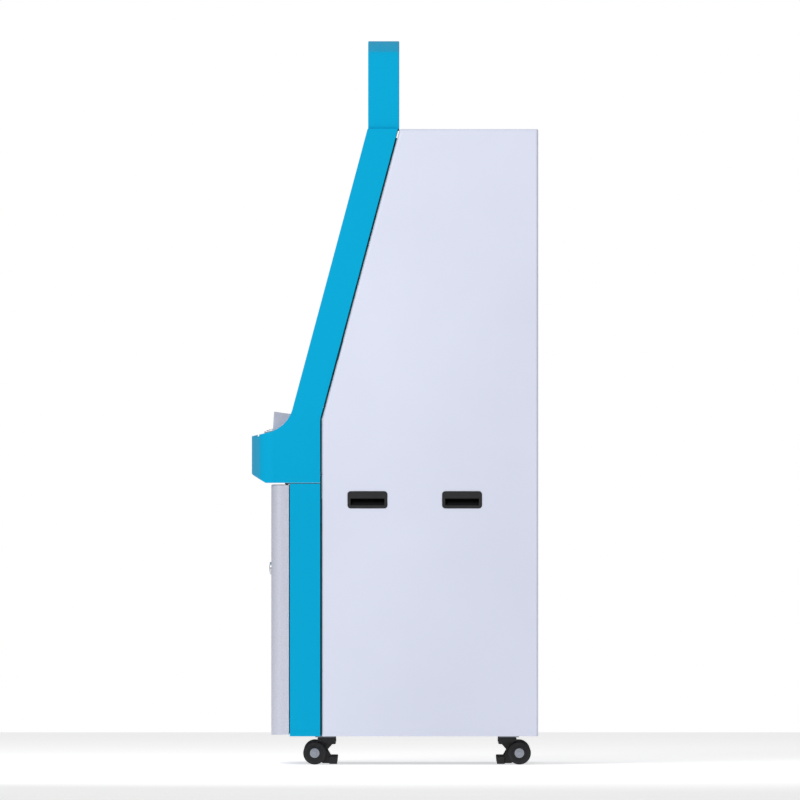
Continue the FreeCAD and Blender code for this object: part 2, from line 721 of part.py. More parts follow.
def lower_door_cover():
    """The silver door skin: a pan with round front corners, hinge blocks and a bore for the lock."""
    x, y = LOWER_AXIS
    corners = [
        (-HALF, DOOR_BACK_Y, LOWER_AXIS_INSET),
        (-HALF, DOOR_FRONT_Y, DOOR_CORNER),
        (HALF, DOOR_FRONT_Y, DOOR_CORNER),
        (HALF, DOOR_BACK_Y, 1.0),
    ]
    skin = plan_extrusion(corners, DOOR_BOTTOM, DOOR_TOP)
    hollow = plan_extrusion(
        offset(corners, [DOOR_SHEET, DOOR_SHEET, DOOR_SHEET, DOOR_SHEET]),
        DOOR_BOTTOM + DOOR_SHEET,
        DOOR_TOP - DOOR_SHEET,
    )
    back = box(
        -HALF + 34, HALF - 14, DOOR_BACK_Y - DOOR_SHEET - 1, DOOR_BACK_Y + 1, DOOR_BOTTOM + 14, DOOR_TOP - 14
    )
    skin = cut(skin, hollow, back)
    block = 16.0
    for z in (DOOR_BOTTOM, DOOR_TOP - block):
        skin = join(skin, box(x - 6.0, x + block, y - block, DOOR_BACK_Y - 0.5, z, z + block))
    bore = rod(x, y, DOOR_BOTTOM - 1, HINGE_PIN_RADIUS + PIN_CLEARANCE, block + 1, (0, 0, 1))
    upper = rod(x, y, DOOR_TOP - block, HINGE_PIN_RADIUS + PIN_CLEARANCE, block + 1, (0, 0, 1))
    return cut(skin, bore, upper, lock_bore())


def lock_bore():
    """The bore for the lock's spindle through the door skin and the slab."""
    return rod(LOCK_X, DOOR_FRONT_Y - 1, LOCK_Z, SPINDLE_RADIUS + FIT, SLAB_Y1 - DOOR_FRONT_Y + 2, (0, 1, 0))


def door_lock():
    """The round lock: a domed knob with a key slot, its spindle and the cam behind the slab."""
    face = DOOR_FRONT_Y - LOCK_PROUD
    knob = rod(LOCK_X, face, LOCK_Z, LOCK_RADIUS, LOCK_PROUD, (0, 1, 0))
    knob = rounded_edges(knob, 2.0, lambda e: e.BoundBox.YMax < face + 0.01)
    slot = box(LOCK_X - 1.2, LOCK_X + 1.2, face - 1, face + 2.5, LOCK_Z - 5, LOCK_Z + 5)
    spindle = rod(LOCK_X, DOOR_FRONT_Y - 0.5, LOCK_Z, SPINDLE_RADIUS, SLAB_Y1 + 5.5 - DOOR_FRONT_Y, (0, 1, 0))
    cam_y = SLAB_Y1 + 1.0
    cam = join(
        rod(LOCK_X, cam_y, LOCK_Z, 11.0, 4.0, (0, 1, 0)),
        rounded_block(LOCK_X - 8, LOCK_X + 8, cam_y, cam_y + 4.0, LOCK_Z - 30, LOCK_Z, 6.0),
    )
    return join(cut(knob, slot), spindle, cam)


def lock_bolts():
    """The bolt bar with its three bolts, which slide out behind the safe's door stop."""
    end = BOLT_RADIUS + 5.0
    z0, z1 = BOLT_HEIGHTS[0] - end, BOLT_HEIGHTS[-1] + end
    pieces = [box(BOLT_BAR_X, BOLT_BAR_X + BOLT_BAR, BOLT_Y - 4, BOLT_Y + 4, z0, z1)]
    start = BOLT_BAR_X + BOLT_BAR / 2
    for z in BOLT_HEIGHTS:
        bolt = rod(start, BOLT_Y, z, BOLT_RADIUS, BOLT_TIP - start, (1, 0, 0))
        pieces.append(rounded_edges(bolt, 1.5, lambda e: e.BoundBox.XMin > BOLT_TIP - 0.1))
    return join(*pieces)


def vault_door():
    """The steel slab behind the silver skin, then the stand-offs to the skin and the guides for the bolts."""
    half = SAFE_INNER - SLAB_CLEARANCE
    z0, z1 = SLAB_Z0, SLAB_Z1
    pieces = [cut(box(-half, half, SLAB_Y0, SLAB_Y1, z0, z1), lock_bore())]
    skin_y = DOOR_FRONT_Y + DOOR_SHEET
    for x in (-half + STANDOFF_INSET, half - STANDOFF_INSET):
        for z in (z0 + 2 * STANDOFF_INSET, (z0 + z1) / 2, z1 - 2 * STANDOFF_INSET):
            pieces.append(rod(x, skin_y, z, STANDOFF_RADIUS, SLAB_Y0 - skin_y, (0, 1, 0)))
    reach = BOLT_RADIUS + 5.0
    for z in BOLT_HEIGHTS:
        block = box(GUIDE_X0, GUIDE_X1, SLAB_Y1, BOLT_Y + BOLT_RADIUS + 3, z - reach, z + reach)
        bore = rod(GUIDE_X0 - 1, BOLT_Y, z, BOLT_RADIUS + BOLT_CLEARANCE, BOLT_GUIDE + 2, (1, 0, 0))
        pieces.append(cut(block, bore))
    return pieces


def safe_body():
    """The steel box that holds the cassettes, plate by plate, with a stop frame for its door."""
    y0, y1 = SAFE_FRONT_Y, SAFE_BACK_Y
    low, high = TRAY_TOP + SAFE_WALL, SAFE_TOP - SAFE_WALL
    floor = box(-SAFE_HALF, SAFE_HALF, y0, y1, TRAY_TOP, low)
    roof = box(-SAFE_HALF, SAFE_HALF, y0, y1, high, SAFE_TOP)
    plates = [cut(floor, *anchor_holes()), cut(roof, chute_hole(high - 1, SAFE_TOP + 1))]
    plates.append(box(-SAFE_INNER, SAFE_INNER, y1 - SAFE_WALL, y1, low, high))
    stop_y1 = STOP_Y + STOP_THICK
    way = SAFE_INNER - STOP_WIDTH
    for side in (-1, 1):
        plates.append(box(*sorted((side * SAFE_INNER, side * SAFE_HALF)), y0, y1, low, high))
        plates.append(box(*sorted((side * way, side * SAFE_INNER)), STOP_Y, stop_y1, low, high))
    plates.append(box(-way, way, STOP_Y, stop_y1, low, low + STOP_WIDTH))
    plates.append(box(-way, way, STOP_Y, stop_y1, high - STOP_WIDTH, high))
    return plates


# ---------------------------------------------------------------- note handling
RACK_HALF = CASSETTE_WIDTH / 2 + 4.0
CASSETTE_Y0 = STOP_Y + 48.0
CASSETTE_FLOORS = [
    TRAY_TOP + SAFE_WALL + CASSETTE_RISE + i * (CASSETTE_HEIGHT + CASSETTE_GAP) for i in range(CASSETTE_COUNT)
]
RACK_Y0 = CASSETTE_Y0 + 24.0


def cassette(floor):
    """A note cassette: a closed case with a lid line, side grooves and a grab handle in front."""
    half = CASSETTE_WIDTH / 2
    y0, y1 = CASSETTE_Y0 + 12.0, CASSETTE_Y0 + CASSETTE_DEPTH
    case = box(-half, half, y0, y1, floor, floor + CASSETTE_HEIGHT)
    case = rounded_edges(case, 4.0, lambda e: along(e, 1))
    lid = floor + CASSETTE_HEIGHT - 16.0
    groove = box(-half - 1, half + 1, y0 - 1, y1 + 1, lid, lid + 1.5)
    core = box(-half + 1.5, half - 1.5, y0 - 2, y1 + 2, floor, floor + CASSETTE_HEIGHT)
    case = cut(case, cut(groove, core))
    z = floor + CASSETTE_HEIGHT / 2
    handle = box(-60, 60, CASSETTE_Y0, y0 + 1, z - 12, z + 12)
    handle = rounded_edges(handle, 5.0, lambda e: along(e, 2) and e.BoundBox.YMax < CASSETTE_Y0 + 0.1)
    grip = box(-50, 50, CASSETTE_Y0 + 4, y0, z - 13, z + 13)
    return join(case, cut(handle, grip))


def cash_dispenser():
    """The dispenser: a rack for the cassettes, the note stacker over them and the chute to the fascia."""
    y0, y1 = RACK_Y0, CASSETTE_Y0 + CASSETTE_DEPTH + 30.0
    floor = TRAY_TOP + SAFE_WALL
    low = floor + STEEL
    top = SAFE_TOP - SAFE_WALL - 6.0
    rack_top = CASSETTE_FLOORS[-1] + CASSETTE_HEIGHT + 12.0
    outer = RACK_HALF + STEEL
    pieces = [box(-outer, outer, y0, y1, floor, low)]
    for side in (-1, 1):
        pieces.append(box(*sorted((side * RACK_HALF, side * outer)), y0, y1, low, rack_top))
        rail = sorted((side * (RACK_HALF - RAIL), side * RACK_HALF))
        pieces += [box(*rail, y0, y1 - STEEL, z - RAIL_SHEET - FIT, z - FIT) for z in CASSETTE_FLOORS]
    pieces.append(box(-RACK_HALF, RACK_HALF, y1 - STEEL, y1, low, rack_top))
    stacker = box(-outer, outer, y0, y1, rack_top, top)
    z1 = chute_top()
    chute = box(-CHUTE_HALF, CHUTE_HALF, *CHUTE_Y, top, z1)
    within = CHUTE_HALF - CHUTE_WALL
    bore_y = (CHUTE_Y[0] + CHUTE_WALL, CHUTE_Y[1] - CHUTE_WALL)
    bore = box(-within, within, *bore_y, top - 30, z1 + 1)
    mouth = box(-within, within, CHUTE_Y[0] - 1, CHUTE_Y[0] + CHUTE_WALL + 2, z1 - 44, z1 - 8)
    return pieces + [cut(stacker, bore), cut(chute, bore, mouth)]


def chute_top():
    """Height of the chute's head, level with the top of the cash slot."""
    return FASCIA_ORIGIN.z + (CASH_S + 24.0) * COS


def computer():
    """The control computer and the power supply beside it, on the deck."""
    z0 = DECK_Z + STEEL
    y1 = FRAME_BACK - 2 * STEEL - 40.0
    y0 = y1 - COMPUTER_DEPTH
    x0 = -(COMPUTER_WIDTH + COMPUTER_GAP + SUPPLY_WIDTH) / 2
    x1 = x0 + COMPUTER_WIDTH
    case = box(x0, x1, y0, y1, z0, z0 + COMPUTER_HEIGHT)
    case = rounded_edges(case, 3.0, lambda e: along(e, 2))
    supply = box(x1 + COMPUTER_GAP, -x0, y0, y1, z0, z0 + SUPPLY_HEIGHT)
    supply = rounded_edges(supply, 3.0, lambda e: along(e, 2))
    return case, supply


# ---------------------------------------------------------------- upper front
def upper_front_frame():
    """The cyan upper front: hollow cheeks, top rail and nose round a recess for the fascia and the shelf."""
    outer = side_extrusion(UPPER_OUTLINE, -HALF, HALF).common(front_plan(0.0)).removeSplitter()
    outer = rounded_edges(outer, NOSE_UNDER_RADIUS, on_nose_under_rim)
    steps = [-6.0, -6.0] + [FRONT_WALL] * 6
    inside = side_extrusion(offset(UPPER_OUTLINE, steps), -HALF, HALF).common(front_plan(FRONT_WALL))
    recess = recess_outline(0.0)
    behind = side_extrusion(recess_outline(FRONT_WALL), -RECESS_HALF - FRONT_WALL, RECESS_HALF + FRONT_WALL)
    hollow = inside.cut(behind)
    shell = cut(outer, hollow, side_extrusion(recess, -RECESS_HALF, RECESS_HALF))
    window = box(
        -RECESS_HALF + FASCIA_FLANGE,
        RECESS_HALF - FASCIA_FLANGE,
        -4.0,
        FRONT_WALL + 4.0,
        FASCIA_FLANGE + 6.0,
        FASCIA_LENGTH - FASCIA_FLANGE,
    )
    shell = cut(shell, on_fascia(window), on_shelf(pinpad_hole()))
    pieces = [shell]
    x, y = UPPER_AXIS
    for z in UPPER_HINGE_HEIGHTS:
        pieces.append(box(-HALF + 1.0, x + 12.0, y - 12.0, y + 6.0, z + 5.0, z + 25.0))
    joined = join(*pieces)
    slots = []
    for z in UPPER_HINGE_HEIGHTS:
        slots.append(rod(x, y, z, HINGE_PIN_RADIUS + PIN_CLEARANCE, 30.0, (0, 0, 1)))
        slots.append(box(-HALF - 1, -HALF + 24, y - 10.0, y + 60.0, z - 1.5, z + 5.0))
    return cut(joined, *slots)


def on_nose_under_rim(edge):
    """True for the edges round the underside of the nose, where its chamfer meets the bowed front."""
    bounds = edge.BoundBox
    runs_up = bounds.ZMax - bounds.ZMin > 5.0
    return bounds.ZMax < NOSE_BOTTOM + 1.0 and runs_up and not along(edge, 0) and not along(edge, 2)


def front_plan(shrink):
    """The upper front's plan, a bowed front between rounded corners, as a tall prism shrunk by a wall."""
    half = HALF - shrink
    side_y = NOSE_Y + NOSE_BOW + shrink
    corners = [(half, side_y), (half, REAR_Y), (-half, REAR_Y), (-half, side_y)]
    points = [Vector(x, y, 0) for x, y in corners]
    bow = Part.Arc(points[3], Vector(0, NOSE_Y + shrink, 0), points[0]).toShape()
    lines = [Part.LineSegment(points[i], points[i + 1]).toShape() for i in range(3)]
    prism = Part.Face(Part.Wire([bow] + lines)).extrude(Vector(0, 0, FRONT_TOP + 1))
    return rounded_edges(
        prism, NOSE_CORNER - shrink, lambda e: along(e, 2) and e.BoundBox.YMax < side_y + 0.1
    )


def recess_outline(wall):
    """The region in front of the fascia and over the shelf, grown backwards by a wall."""
    high = FRONT_TOP - TOP_RAIL + wall
    slope_shift = (FASCIA_RECESS + wall) / COS
    drop = (SHELF_RECESS + wall) / math.cos(math.radians(SHELF_TILT))
    rise = math.tan(math.radians(SHELF_TILT))
    rim = NOSE_Y + NOSE_RIM - wall
    z_rim = NOSE_TOP + (rim - NOSE_Y) * rise - drop
    base = leaning_front(0.0) + slope_shift
    z_in = (z_rim + (base - rim) * rise) / (1 - TAN * rise)
    return [
        (leaning_front(high) + slope_shift, high, 0.0),
        (base + z_in * TAN, z_in, RECESS_CORNER + wall),
        (rim, z_rim, 0.0),
        (rim, high, 0.0),
    ]


def fascia_panel():
    """The fascia plate behind the recess's flange, with its cut-outs, a camera boss and speaker slots."""
    half = RECESS_HALF - 2.0
    plate = rounded_block(-half, half, PANEL_W0, PANEL_W1, FASCIA_FOOT, FASCIA_LENGTH - 3.0, 4.0)
    lcd_x, lcd_s = LCD_WIDTH / 2, LCD_HEIGHT / 2
    tools = [
        rounded_block(-lcd_x, lcd_x, 0, PANEL_W1 + 1, SCREEN_S - lcd_s, SCREEN_S + lcd_s, 2.0),
        slot_cutout(CARD_X, SLOTS_S, CARD_HALF),
        slot_cutout(RECEIPT_X, SLOTS_S, RECEIPT_HALF),
        slot_cutout(0.0, CASH_S, CASH_HALF),
    ]
    tools.append(rod(0, 0, CAMERA_S, CAMERA_RADIUS, PANEL_W1 + 1, (0, 1, 0)))
    for x in (-SPEAKER_X, SPEAKER_X):
        for row in range(5):
            z = CAMERA_S - 12.0 + 6.0 * row
            tools.append(rounded_block(x - 30, x + 30, 0, PANEL_W1 + 1, z - 1.2, z + 1.2, 1.1))
    plate = cut(plate, *tools)
    boss = rod(0, PANEL_W0 - 3.0, CAMERA_S, CAMERA_RADIUS - FIT, 18.0, (0, 1, 0))
    boss = rounded_edges(boss, 1.5, lambda e: e.BoundBox.YMax < PANEL_W0 - 2.9)
    return on_fascia(plate), on_fascia(boss)


def slot_cutout(x, s, half):
    """The hole in the fascia for a bezel's neck."""
    return rounded_block(x - half[0], x + half[0], 0, PANEL_W1 + 1, s - half[1], s + half[1], 5.0)


def bezel(x, s, half, proud):
    """A bezel: a rounded front plate and a neck that fits the fascia's cut-out."""
    reach_x, reach_s = half[0] + BEZEL_RIM, half[1] + BEZEL_RIM
    front = rounded_block(x - reach_x, x + reach_x, PANEL_W0 - proud, PANEL_W0, s - reach_s, s + reach_s, 9.0)
    front = rounded_edges(front, 3.0, lambda e: e.BoundBox.YMax < PANEL_W0 - proud + 0.01)
    neck_x, neck_s = half[0] - FIT, half[1] - FIT
    neck = rounded_block(x - neck_x, x + neck_x, PANEL_W0 - 1, NECK_W1, s - neck_s, s + neck_s, 4.7)
    return join(front, neck)


def card_reader():
    """The card reader: a bezel with a flared card slot, and the reader behind it."""
    face = PANEL_W0 - BEZEL_PROUD
    flare = rounded_block(CARD_X - 31, CARD_X + 31, face - 1, face + 9, SLOTS_S - 5, SLOTS_S + 5, 3.0)
    throat = box(CARD_X - 28, CARD_X + 28, face, NECK_W1 + 12, SLOTS_S - SLIT / 2, SLOTS_S + SLIT / 2)
    front = cut(bezel(CARD_X, SLOTS_S, CARD_HALF, BEZEL_PROUD), flare, throat)
    reader = box(CARD_X - 44, CARD_X + 44, NECK_W1, NECK_W1 + 142, SLOTS_S - 22, SLOTS_S + 22)
    return on_fascia(front), on_fascia(cut(reader, throat))


def receipt_printer():
    """The receipt printer: a bezel with a mouth, the print head behind it, and a cradle for the roll."""
    face = PANEL_W0 - BEZEL_PROUD
    half_x = RECEIPT_HALF[0]
    mouth = rounded_block(RECEIPT_X - 43, RECEIPT_X + 43, face - 1, face + 9, SLOTS_S - 7, SLOTS_S + 7, 4.0)
    slit = box(RECEIPT_X - 41, RECEIPT_X + 41, face, NECK_W1 + 12, SLOTS_S - SLIT / 2, SLOTS_S + SLIT / 2)
    front = cut(bezel(RECEIPT_X, SLOTS_S, RECEIPT_HALF, BEZEL_PROUD), mouth, slit)
    head_w1 = NECK_W1 + 72
    low = SLOTS_S - 26
    head = box(RECEIPT_X - half_x, RECEIPT_X + half_x, NECK_W1, head_w1, low, SLOTS_S + 26)
    cradle_w1 = ROLL_W + 20
    outer = ROLL_HALF + 6
    pieces = [front, cut(head, slit)]
    for side in (-1, 1):
        x0, x1 = sorted((RECEIPT_X + side * (outer - STEEL), RECEIPT_X + side * outer))
        cheek = box(x0, x1, head_w1, cradle_w1, low, ROLL_S + 10)
        socket = rod(x0 - 1, ROLL_W, ROLL_S, SPINDLE_ROLL_RADIUS, x1 - x0 + 2, (1, 0, 0))
        pieces.append(cut(cheek, socket))
    pieces.append(box(RECEIPT_X - outer, RECEIPT_X + outer, head_w1, cradle_w1, low - STEEL, low))
    pieces.append(rod(RECEIPT_X - outer, ROLL_W, ROLL_S, SPINDLE_ROLL_RADIUS, 2 * outer, (1, 0, 0)))
    return [on_fascia(piece) for piece in pieces]


def paper_roll():
    """The roll of receipt paper on the printer's spindle."""
    roll = rod(RECEIPT_X - ROLL_HALF, ROLL_W, ROLL_S, ROLL_RADIUS, 2 * ROLL_HALF, (1, 0, 0))
    bore = SPINDLE_ROLL_RADIUS + PIN_CLEARANCE
    core = rod(RECEIPT_X - ROLL_HALF - 1, ROLL_W, ROLL_S, bore, 2 * ROLL_HALF + 2, (1, 0, 0))
    return on_fascia(cut(roll, core))


def cash_slot_bezel():
    """The surround of the note outlet, with a flared mouth and a guide pocket for the shutter."""
    face = PANEL_W0 - BEZEL_PROUD
    front = bezel(0.0, CASH_S, CASH_HALF, BEZEL_PROUD)
    half_x, half_s = SHUTTER_HALF
    mouth = rounded_block(
        -half_x + 4, half_x - 4, face - 1, SHUTTER_W + 20, CASH_S - half_s + 4, CASH_S + half_s - 4, 4.0
    )
    flare = rounded_block(
        -half_x - 4, half_x + 4, face - 1, face + 5, CASH_S - half_s - 4, CASH_S + half_s + 4, 7.0
    )
    body = rounded_block(
        -half_x - 14, half_x + 14, PANEL_W1 + 7, SHUTTER_W + 12, CASH_S - 56, CASH_S + 24, 3.0
    )
    pocket = box(
        -half_x - FIT,
        half_x + FIT,
        SHUTTER_W - FIT,
        SHUTTER_W + SHUTTER_THICK + FIT,
        CASH_S - half_s - SHUTTER_TRAVEL - 6,
        CASH_S + half_s + 1,
    )
    return on_fascia(cut(join(front, body), flare, mouth, pocket))


def cash_shutter():
    """The plate that closes the note outlet and slides down behind the bezel."""
    half_x, half_s = SHUTTER_HALF
    plate = box(-half_x, half_x, SHUTTER_W, SHUTTER_W + SHUTTER_THICK, CASH_S - half_s, CASH_S + half_s)
    return on_fascia(plate)


def touch_screen():
    """The touch glass on the front of the fascia."""
    half_x, half_s = SCREEN_WIDTH / 2, SCREEN_HEIGHT / 2
    glass = rounded_block(
        -half_x, half_x, PANEL_W0 - 4.0, PANEL_W0, SCREEN_S - half_s, SCREEN_S + half_s, 8.0
    )
    return on_fascia(rounded_edges(glass, 1.0, lambda e: e.BoundBox.YMax < PANEL_W0 - 3.9))


def lcd_monitor():
    """The display module behind the fascia, its face in the cut-out and its chassis against the plate."""
    face = rounded_block(
        -LCD_WIDTH / 2 + 1,
        LCD_WIDTH / 2 - 1,
        PANEL_W0 + FIT,
        PANEL_W1 + 1,
        SCREEN_S - LCD_HEIGHT / 2 + 1,
        SCREEN_S + LCD_HEIGHT / 2 - 1,
        1.5,
    )
    chassis = rounded_block(
        -LCD_WIDTH / 2 - 12,
        LCD_WIDTH / 2 + 12,
        PANEL_W1,
        PANEL_W1 + LCD_DEPTH,
        SCREEN_S - LCD_HEIGHT / 2 - 10,
        SCREEN_S + LCD_HEIGHT / 2 + 10,
        4.0,
    )
    return on_fascia(join(face, chassis))


# ---------------------------------------------------------------- crest
def crest_outline(shrink, bottom):
    """The crest's front outline with its arched top, as a closed face in the X-Z plane at Y = 0."""
    half = HALF - CREST_INSET - shrink
    z0 = FRONT_TOP + bottom
    side_top = FRONT_TOP + CREST_HEIGHT - CREST_RISE - shrink
    crown = FRONT_TOP + CREST_HEIGHT - shrink
    arc = Part.Arc(Vector(half, 0, side_top), Vector(0, 0, crown), Vector(-half, 0, side_top)).toShape()
    places = [(-half, side_top), (-half, z0), (half, z0), (half, side_top)]
    corners = [Vector(x, 0, z) for x, z in places]
    lines = [Part.LineSegment(corners[i], corners[i + 1]).toShape() for i in range(3)]
    return Part.Face(Part.Wire([arc] + lines))


def crest_front_y():
    """Y of the crest's face, just behind the top of the leaning face."""
    return leaning_front(FRONT_TOP) + 1.5


def crest_prism(shrink, bottom, y0, y1):
    """The crest's outline, shrunk all round, swept from y0 to y1."""
    prism = crest_outline(shrink, bottom).extrude(Vector(0, y1 - y0, 0))
    prism.translate(Vector(0, y0, 0))
    return prism


def crest_corner(edge):
    """True for the edge along Y where the crest's side meets its arch."""
    bounds = edge.BoundBox
    return along(edge, 1) and bounds.ZMin > FRONT_TOP + CREST_HEIGHT / 2


def on_crest_face(edge, y):
    """True for the edges of the crest's face at one Y, apart from its foot."""
    bounds = edge.BoundBox
    return abs(bounds.YMin - y) < 1e-3 and abs(bounds.YMax - y) < 1e-3 and bounds.ZMax > FRONT_TOP + 1.0


def crest_housing():
    """The lit header's housing: a box with an arched top, open in front for its panel."""
    y0 = crest_front_y()
    outer = crest_prism(0.0, 0.0, y0, y0 + CREST_DEPTH)
    outer = rounded_edges(outer, CREST_CORNER, crest_corner)
    y1 = y0 + CREST_DEPTH
    outer = rounded_edges(outer, CREST_EDGE, lambda e: on_crest_face(e, y0) or on_crest_face(e, y1))
    hollow = crest_prism(CREST_WALL, CREST_WALL, y0 + 8.0, y0 + CREST_DEPTH - CREST_WALL)
    hollow = rounded_edges(hollow, CREST_CORNER - CREST_WALL, crest_corner)
    window = crest_prism(CREST_BORDER, CREST_BORDER, y0 - 1.0, y0 + 9.0)
    window = rounded_edges(window, CREST_CORNER, crest_corner)
    cable = rod(0, y0 + CREST_DEPTH / 2, FRONT_TOP - 1, 12.0, 6.0, (0, 0, 1))
    return cut(outer, hollow, window, cable)


def crest_light_panel():
    """The translucent panel set into the crest's front."""
    y0 = crest_front_y()
    panel = crest_prism(CREST_BORDER + FIT, CREST_BORDER + FIT, y0 + 2.0, y0 + 6.0)
    return rounded_edges(panel, CREST_CORNER, crest_corner)


# ---------------------------------------------------------------- keypad
PAD_HALF = 2 * KEY_PITCH_X + PINPAD_MARGIN
PAD_END = PINPAD_START + 4 * KEY_PITCH_Y + 2 * PINPAD_MARGIN
PLATE_Z0 = -SHELF_RECESS
PLATE_Z1 = PLATE_Z0 + PINPAD_PLATE + 3.5


def key_places():
    """Name and middle of each key on the shelf: four rows of four, rows counted from the screen."""
    names = ["key_1", "key_2", "key_3", "key_cancel", "key_4", "key_5", "key_6", "key_clear"]
    names += ["key_7", "key_8", "key_9", "key_enter"]
    names += ["key_blank_left", "key_0", "key_point", "key_blank_right"]
    places = []
    for i, name in enumerate(names):
        row, column = divmod(i, 4)
        x = (column - 1.5) * KEY_PITCH_X
        y = PINPAD_START + PINPAD_MARGIN + (3.5 - row) * KEY_PITCH_Y
        places.append((name, x, y))
    return places


def pinpad_hole():
    """The hole in the shelf for the keypad's body."""
    inset = PINPAD_LEDGE
    return box(-PAD_HALF + inset, PAD_HALF - inset, PINPAD_START + inset, PAD_END - inset, -30.0, 6.0)


def pinpad_body():
    """The encrypting keypad: a steel plate on the shelf with a pocket for each key, and its box below."""
    plate = plan_extrusion(rectangle(-PAD_HALF, PAD_HALF, PINPAD_START, PAD_END, 6.0), PLATE_Z0, PLATE_Z1)
    plate = rounded_edges(plate, 1.5, lambda e: e.BoundBox.ZMin > PLATE_Z1 - 0.01)
    inset = PINPAD_LEDGE + FIT
    half = PAD_HALF - inset
    body = box(-half, half, PINPAD_START + inset, PAD_END - inset, PLATE_Z0 - PINPAD_BODY, PLATE_Z0 + 1)
    half_x, half_y = KEY_WIDTH / 2 + KEY_CLEARANCE, KEY_LENGTH / 2 + KEY_CLEARANCE
    floor = PLATE_Z1 - KEY_DEPTH - KEY_TRAVEL
    pockets = [
        box(x - half_x, x + half_x, y - half_y, y + half_y, floor, PLATE_Z1 + 1) for _, x, y in key_places()
    ]
    return on_shelf(cut(join(plate, body), *pockets))


def key(x, y):
    """One metal key cap with soft edges."""
    half_x, half_y = KEY_WIDTH / 2, KEY_LENGTH / 2
    z0, z1 = PLATE_Z1 - KEY_DEPTH + FIT, PLATE_Z1 + KEY_PROUD
    cap = plan_extrusion(rectangle(x - half_x, x + half_x, y - half_y, y + half_y, 2.0), z0, z1)
    return on_shelf(rounded_edges(cap, 0.8, lambda e: e.BoundBox.ZMin > z1 - 0.01))


def privacy_hood():
    """The hood over the keypad: two cheeks, a back and a sloping roof, open towards the customer."""
    y0, y1 = PINPAD_START + HOOD_START, PAD_END + 1.3 * HOOD_WALL
    half = PAD_HALF + FIT + HOOD_WALL
    z0 = PLATE_Z0
    front, back = z0 + HOOD_FRONT_HEIGHT, z0 + HOOD_BACK_HEIGHT
    outline = [(y0, z0), (y1, z0), (y1 + HOOD_LEAN, back, 4.0), (y0 + HOOD_LEAN, front, 2.0)]
    outer = side_extrusion(outline, -half, half)
    inner_outline = offset(outline, [-9.0, HOOD_WALL, HOOD_WALL, -9.0])
    inner = side_extrusion(inner_outline, -half + HOOD_WALL, half - HOOD_WALL)
    return on_shelf(cut(outer, inner))


# ---------------------------------------------------------------- rear door
def rear_door():
    """The rear service door: a pan with rows of vent slots, pivoting on pins at its left edge."""
    x, y = REAR_AXIS
    half, face = REAR_DOOR_HALF, REAR_DOOR_Y
    z0, z1 = REAR_SILL_HEIGHT + 2.0, RING_BOTTOM - 5.0
    depth = REAR_DOOR_DEPTH
    corners = [
        (-half, face, REAR_AXIS_INSET),
        (-half, face - depth),
        (half, face - depth),
        (half, face, REAR_AXIS_INSET),
    ]
    pan = plan_extrusion(corners, z0, z1)
    hollow = box(-half + 1.5, half - 1.5, face - depth - 1, face - 1.5, z0 + 1.5, z1 - 1.5)
    pan = cut(pan, hollow)
    for low in (z0, z1 - 8.0):
        pan = join(pan, box(-half + 1.0, x + 8.0, y - 6.0, face - 1.0, low, low + 8.0))
    tools = [rod(x, y, z0 - 1, HINGE_PIN_RADIUS + PIN_CLEARANCE, z1 - z0 + 2, (0, 0, 1))]
    for middle in (420.0, 1400.0):
        for row in range(8):
            z = middle + 14.0 * (row - 3.5)
            for side in (-1, 1):
                x0, x1 = side * 80.0 - 60.0, side * 80.0 + 60.0
                tools.append(rounded_block(x0, x1, face - 3, face + 1, z - 2.5, z + 2.5, 2.4))
    tools.append(rod(REAR_LOCK_X, face - 4, REAR_LOCK_Z, 9.0 + FIT, 6.0, (0, 1, 0)))
    return cut(pan, *tools)


def rear_door_lock():
    """The quarter-turn lock of the rear door: a round face with a slot, its barrel and a cam."""
    face = REAR_Y
    head = rod(REAR_LOCK_X, REAR_DOOR_Y, REAR_LOCK_Z, 13.0, face - REAR_DOOR_Y, (0, 1, 0))
    head = rounded_edges(head, 1.0, lambda e: e.BoundBox.YMin > face - 0.01)
    slot = box(REAR_LOCK_X - 1.2, REAR_LOCK_X + 1.2, face - 2, face + 1, REAR_LOCK_Z - 6, REAR_LOCK_Z + 6)
    cam_y = FRAME_BACK - STEEL - 2.0
    barrel = rod(REAR_LOCK_X, cam_y - 3.0, REAR_LOCK_Z, 9.0, REAR_DOOR_Y + 1.0 - cam_y + 3.0, (0, 1, 0))
    cam_z = REAR_LOCK_Z - 28.0
    cam = rounded_block(REAR_LOCK_X - 7, REAR_LOCK_X + 7, cam_y - 3.0, cam_y, cam_z, REAR_LOCK_Z, 5.0)
    return join(cut(head, slot), barrel, cam)


# ---------------------------------------------------------------- castors
def castor_body():
    """The castor's swivelling body at the origin: a head under the plate and a rib down to the axle."""
    z1 = CASTOR_HEIGHT - CASTOR_PLATE_THICK - FIT
    head = side_extrusion(
        [(-20.0, z1 - 9, 3.0), (20.0, z1 - 18, 4.0), (28.0, z1 - 17, 3.0), (27.0, z1, 3.0), (-20.0, z1, 3.0)],
        -19.0,
        19.0,
    )
    socket = rod(0, 0, z1 - 5.0, 9.0 + FIT, 6.0, (0, 0, 1))
    half = CASTOR_RIB / 2
    rib = side_extrusion(
        [
            (-WHEEL_OFFSET - 9, WHEEL_RADIUS - 9, 8.0),
            (-WHEEL_OFFSET + 12, WHEEL_RADIUS - 9, 8.0),
            (4.5, 37.0, 6.0),
            (22.0, z1 - 14, 0.0),
            (-15.0, z1 - 5, 0.0),
            (-WHEEL_OFFSET - 9, WHEEL_RADIUS + 9, 8.0),
        ],
        -half,
        half,
    )
    bore = rod(-half - 1, -WHEEL_OFFSET, WHEEL_RADIUS, AXLE_RADIUS + PIN_CLEARANCE, CASTOR_RIB + 2, (1, 0, 0))
    return cut(join(cut(head, socket), rib), bore)


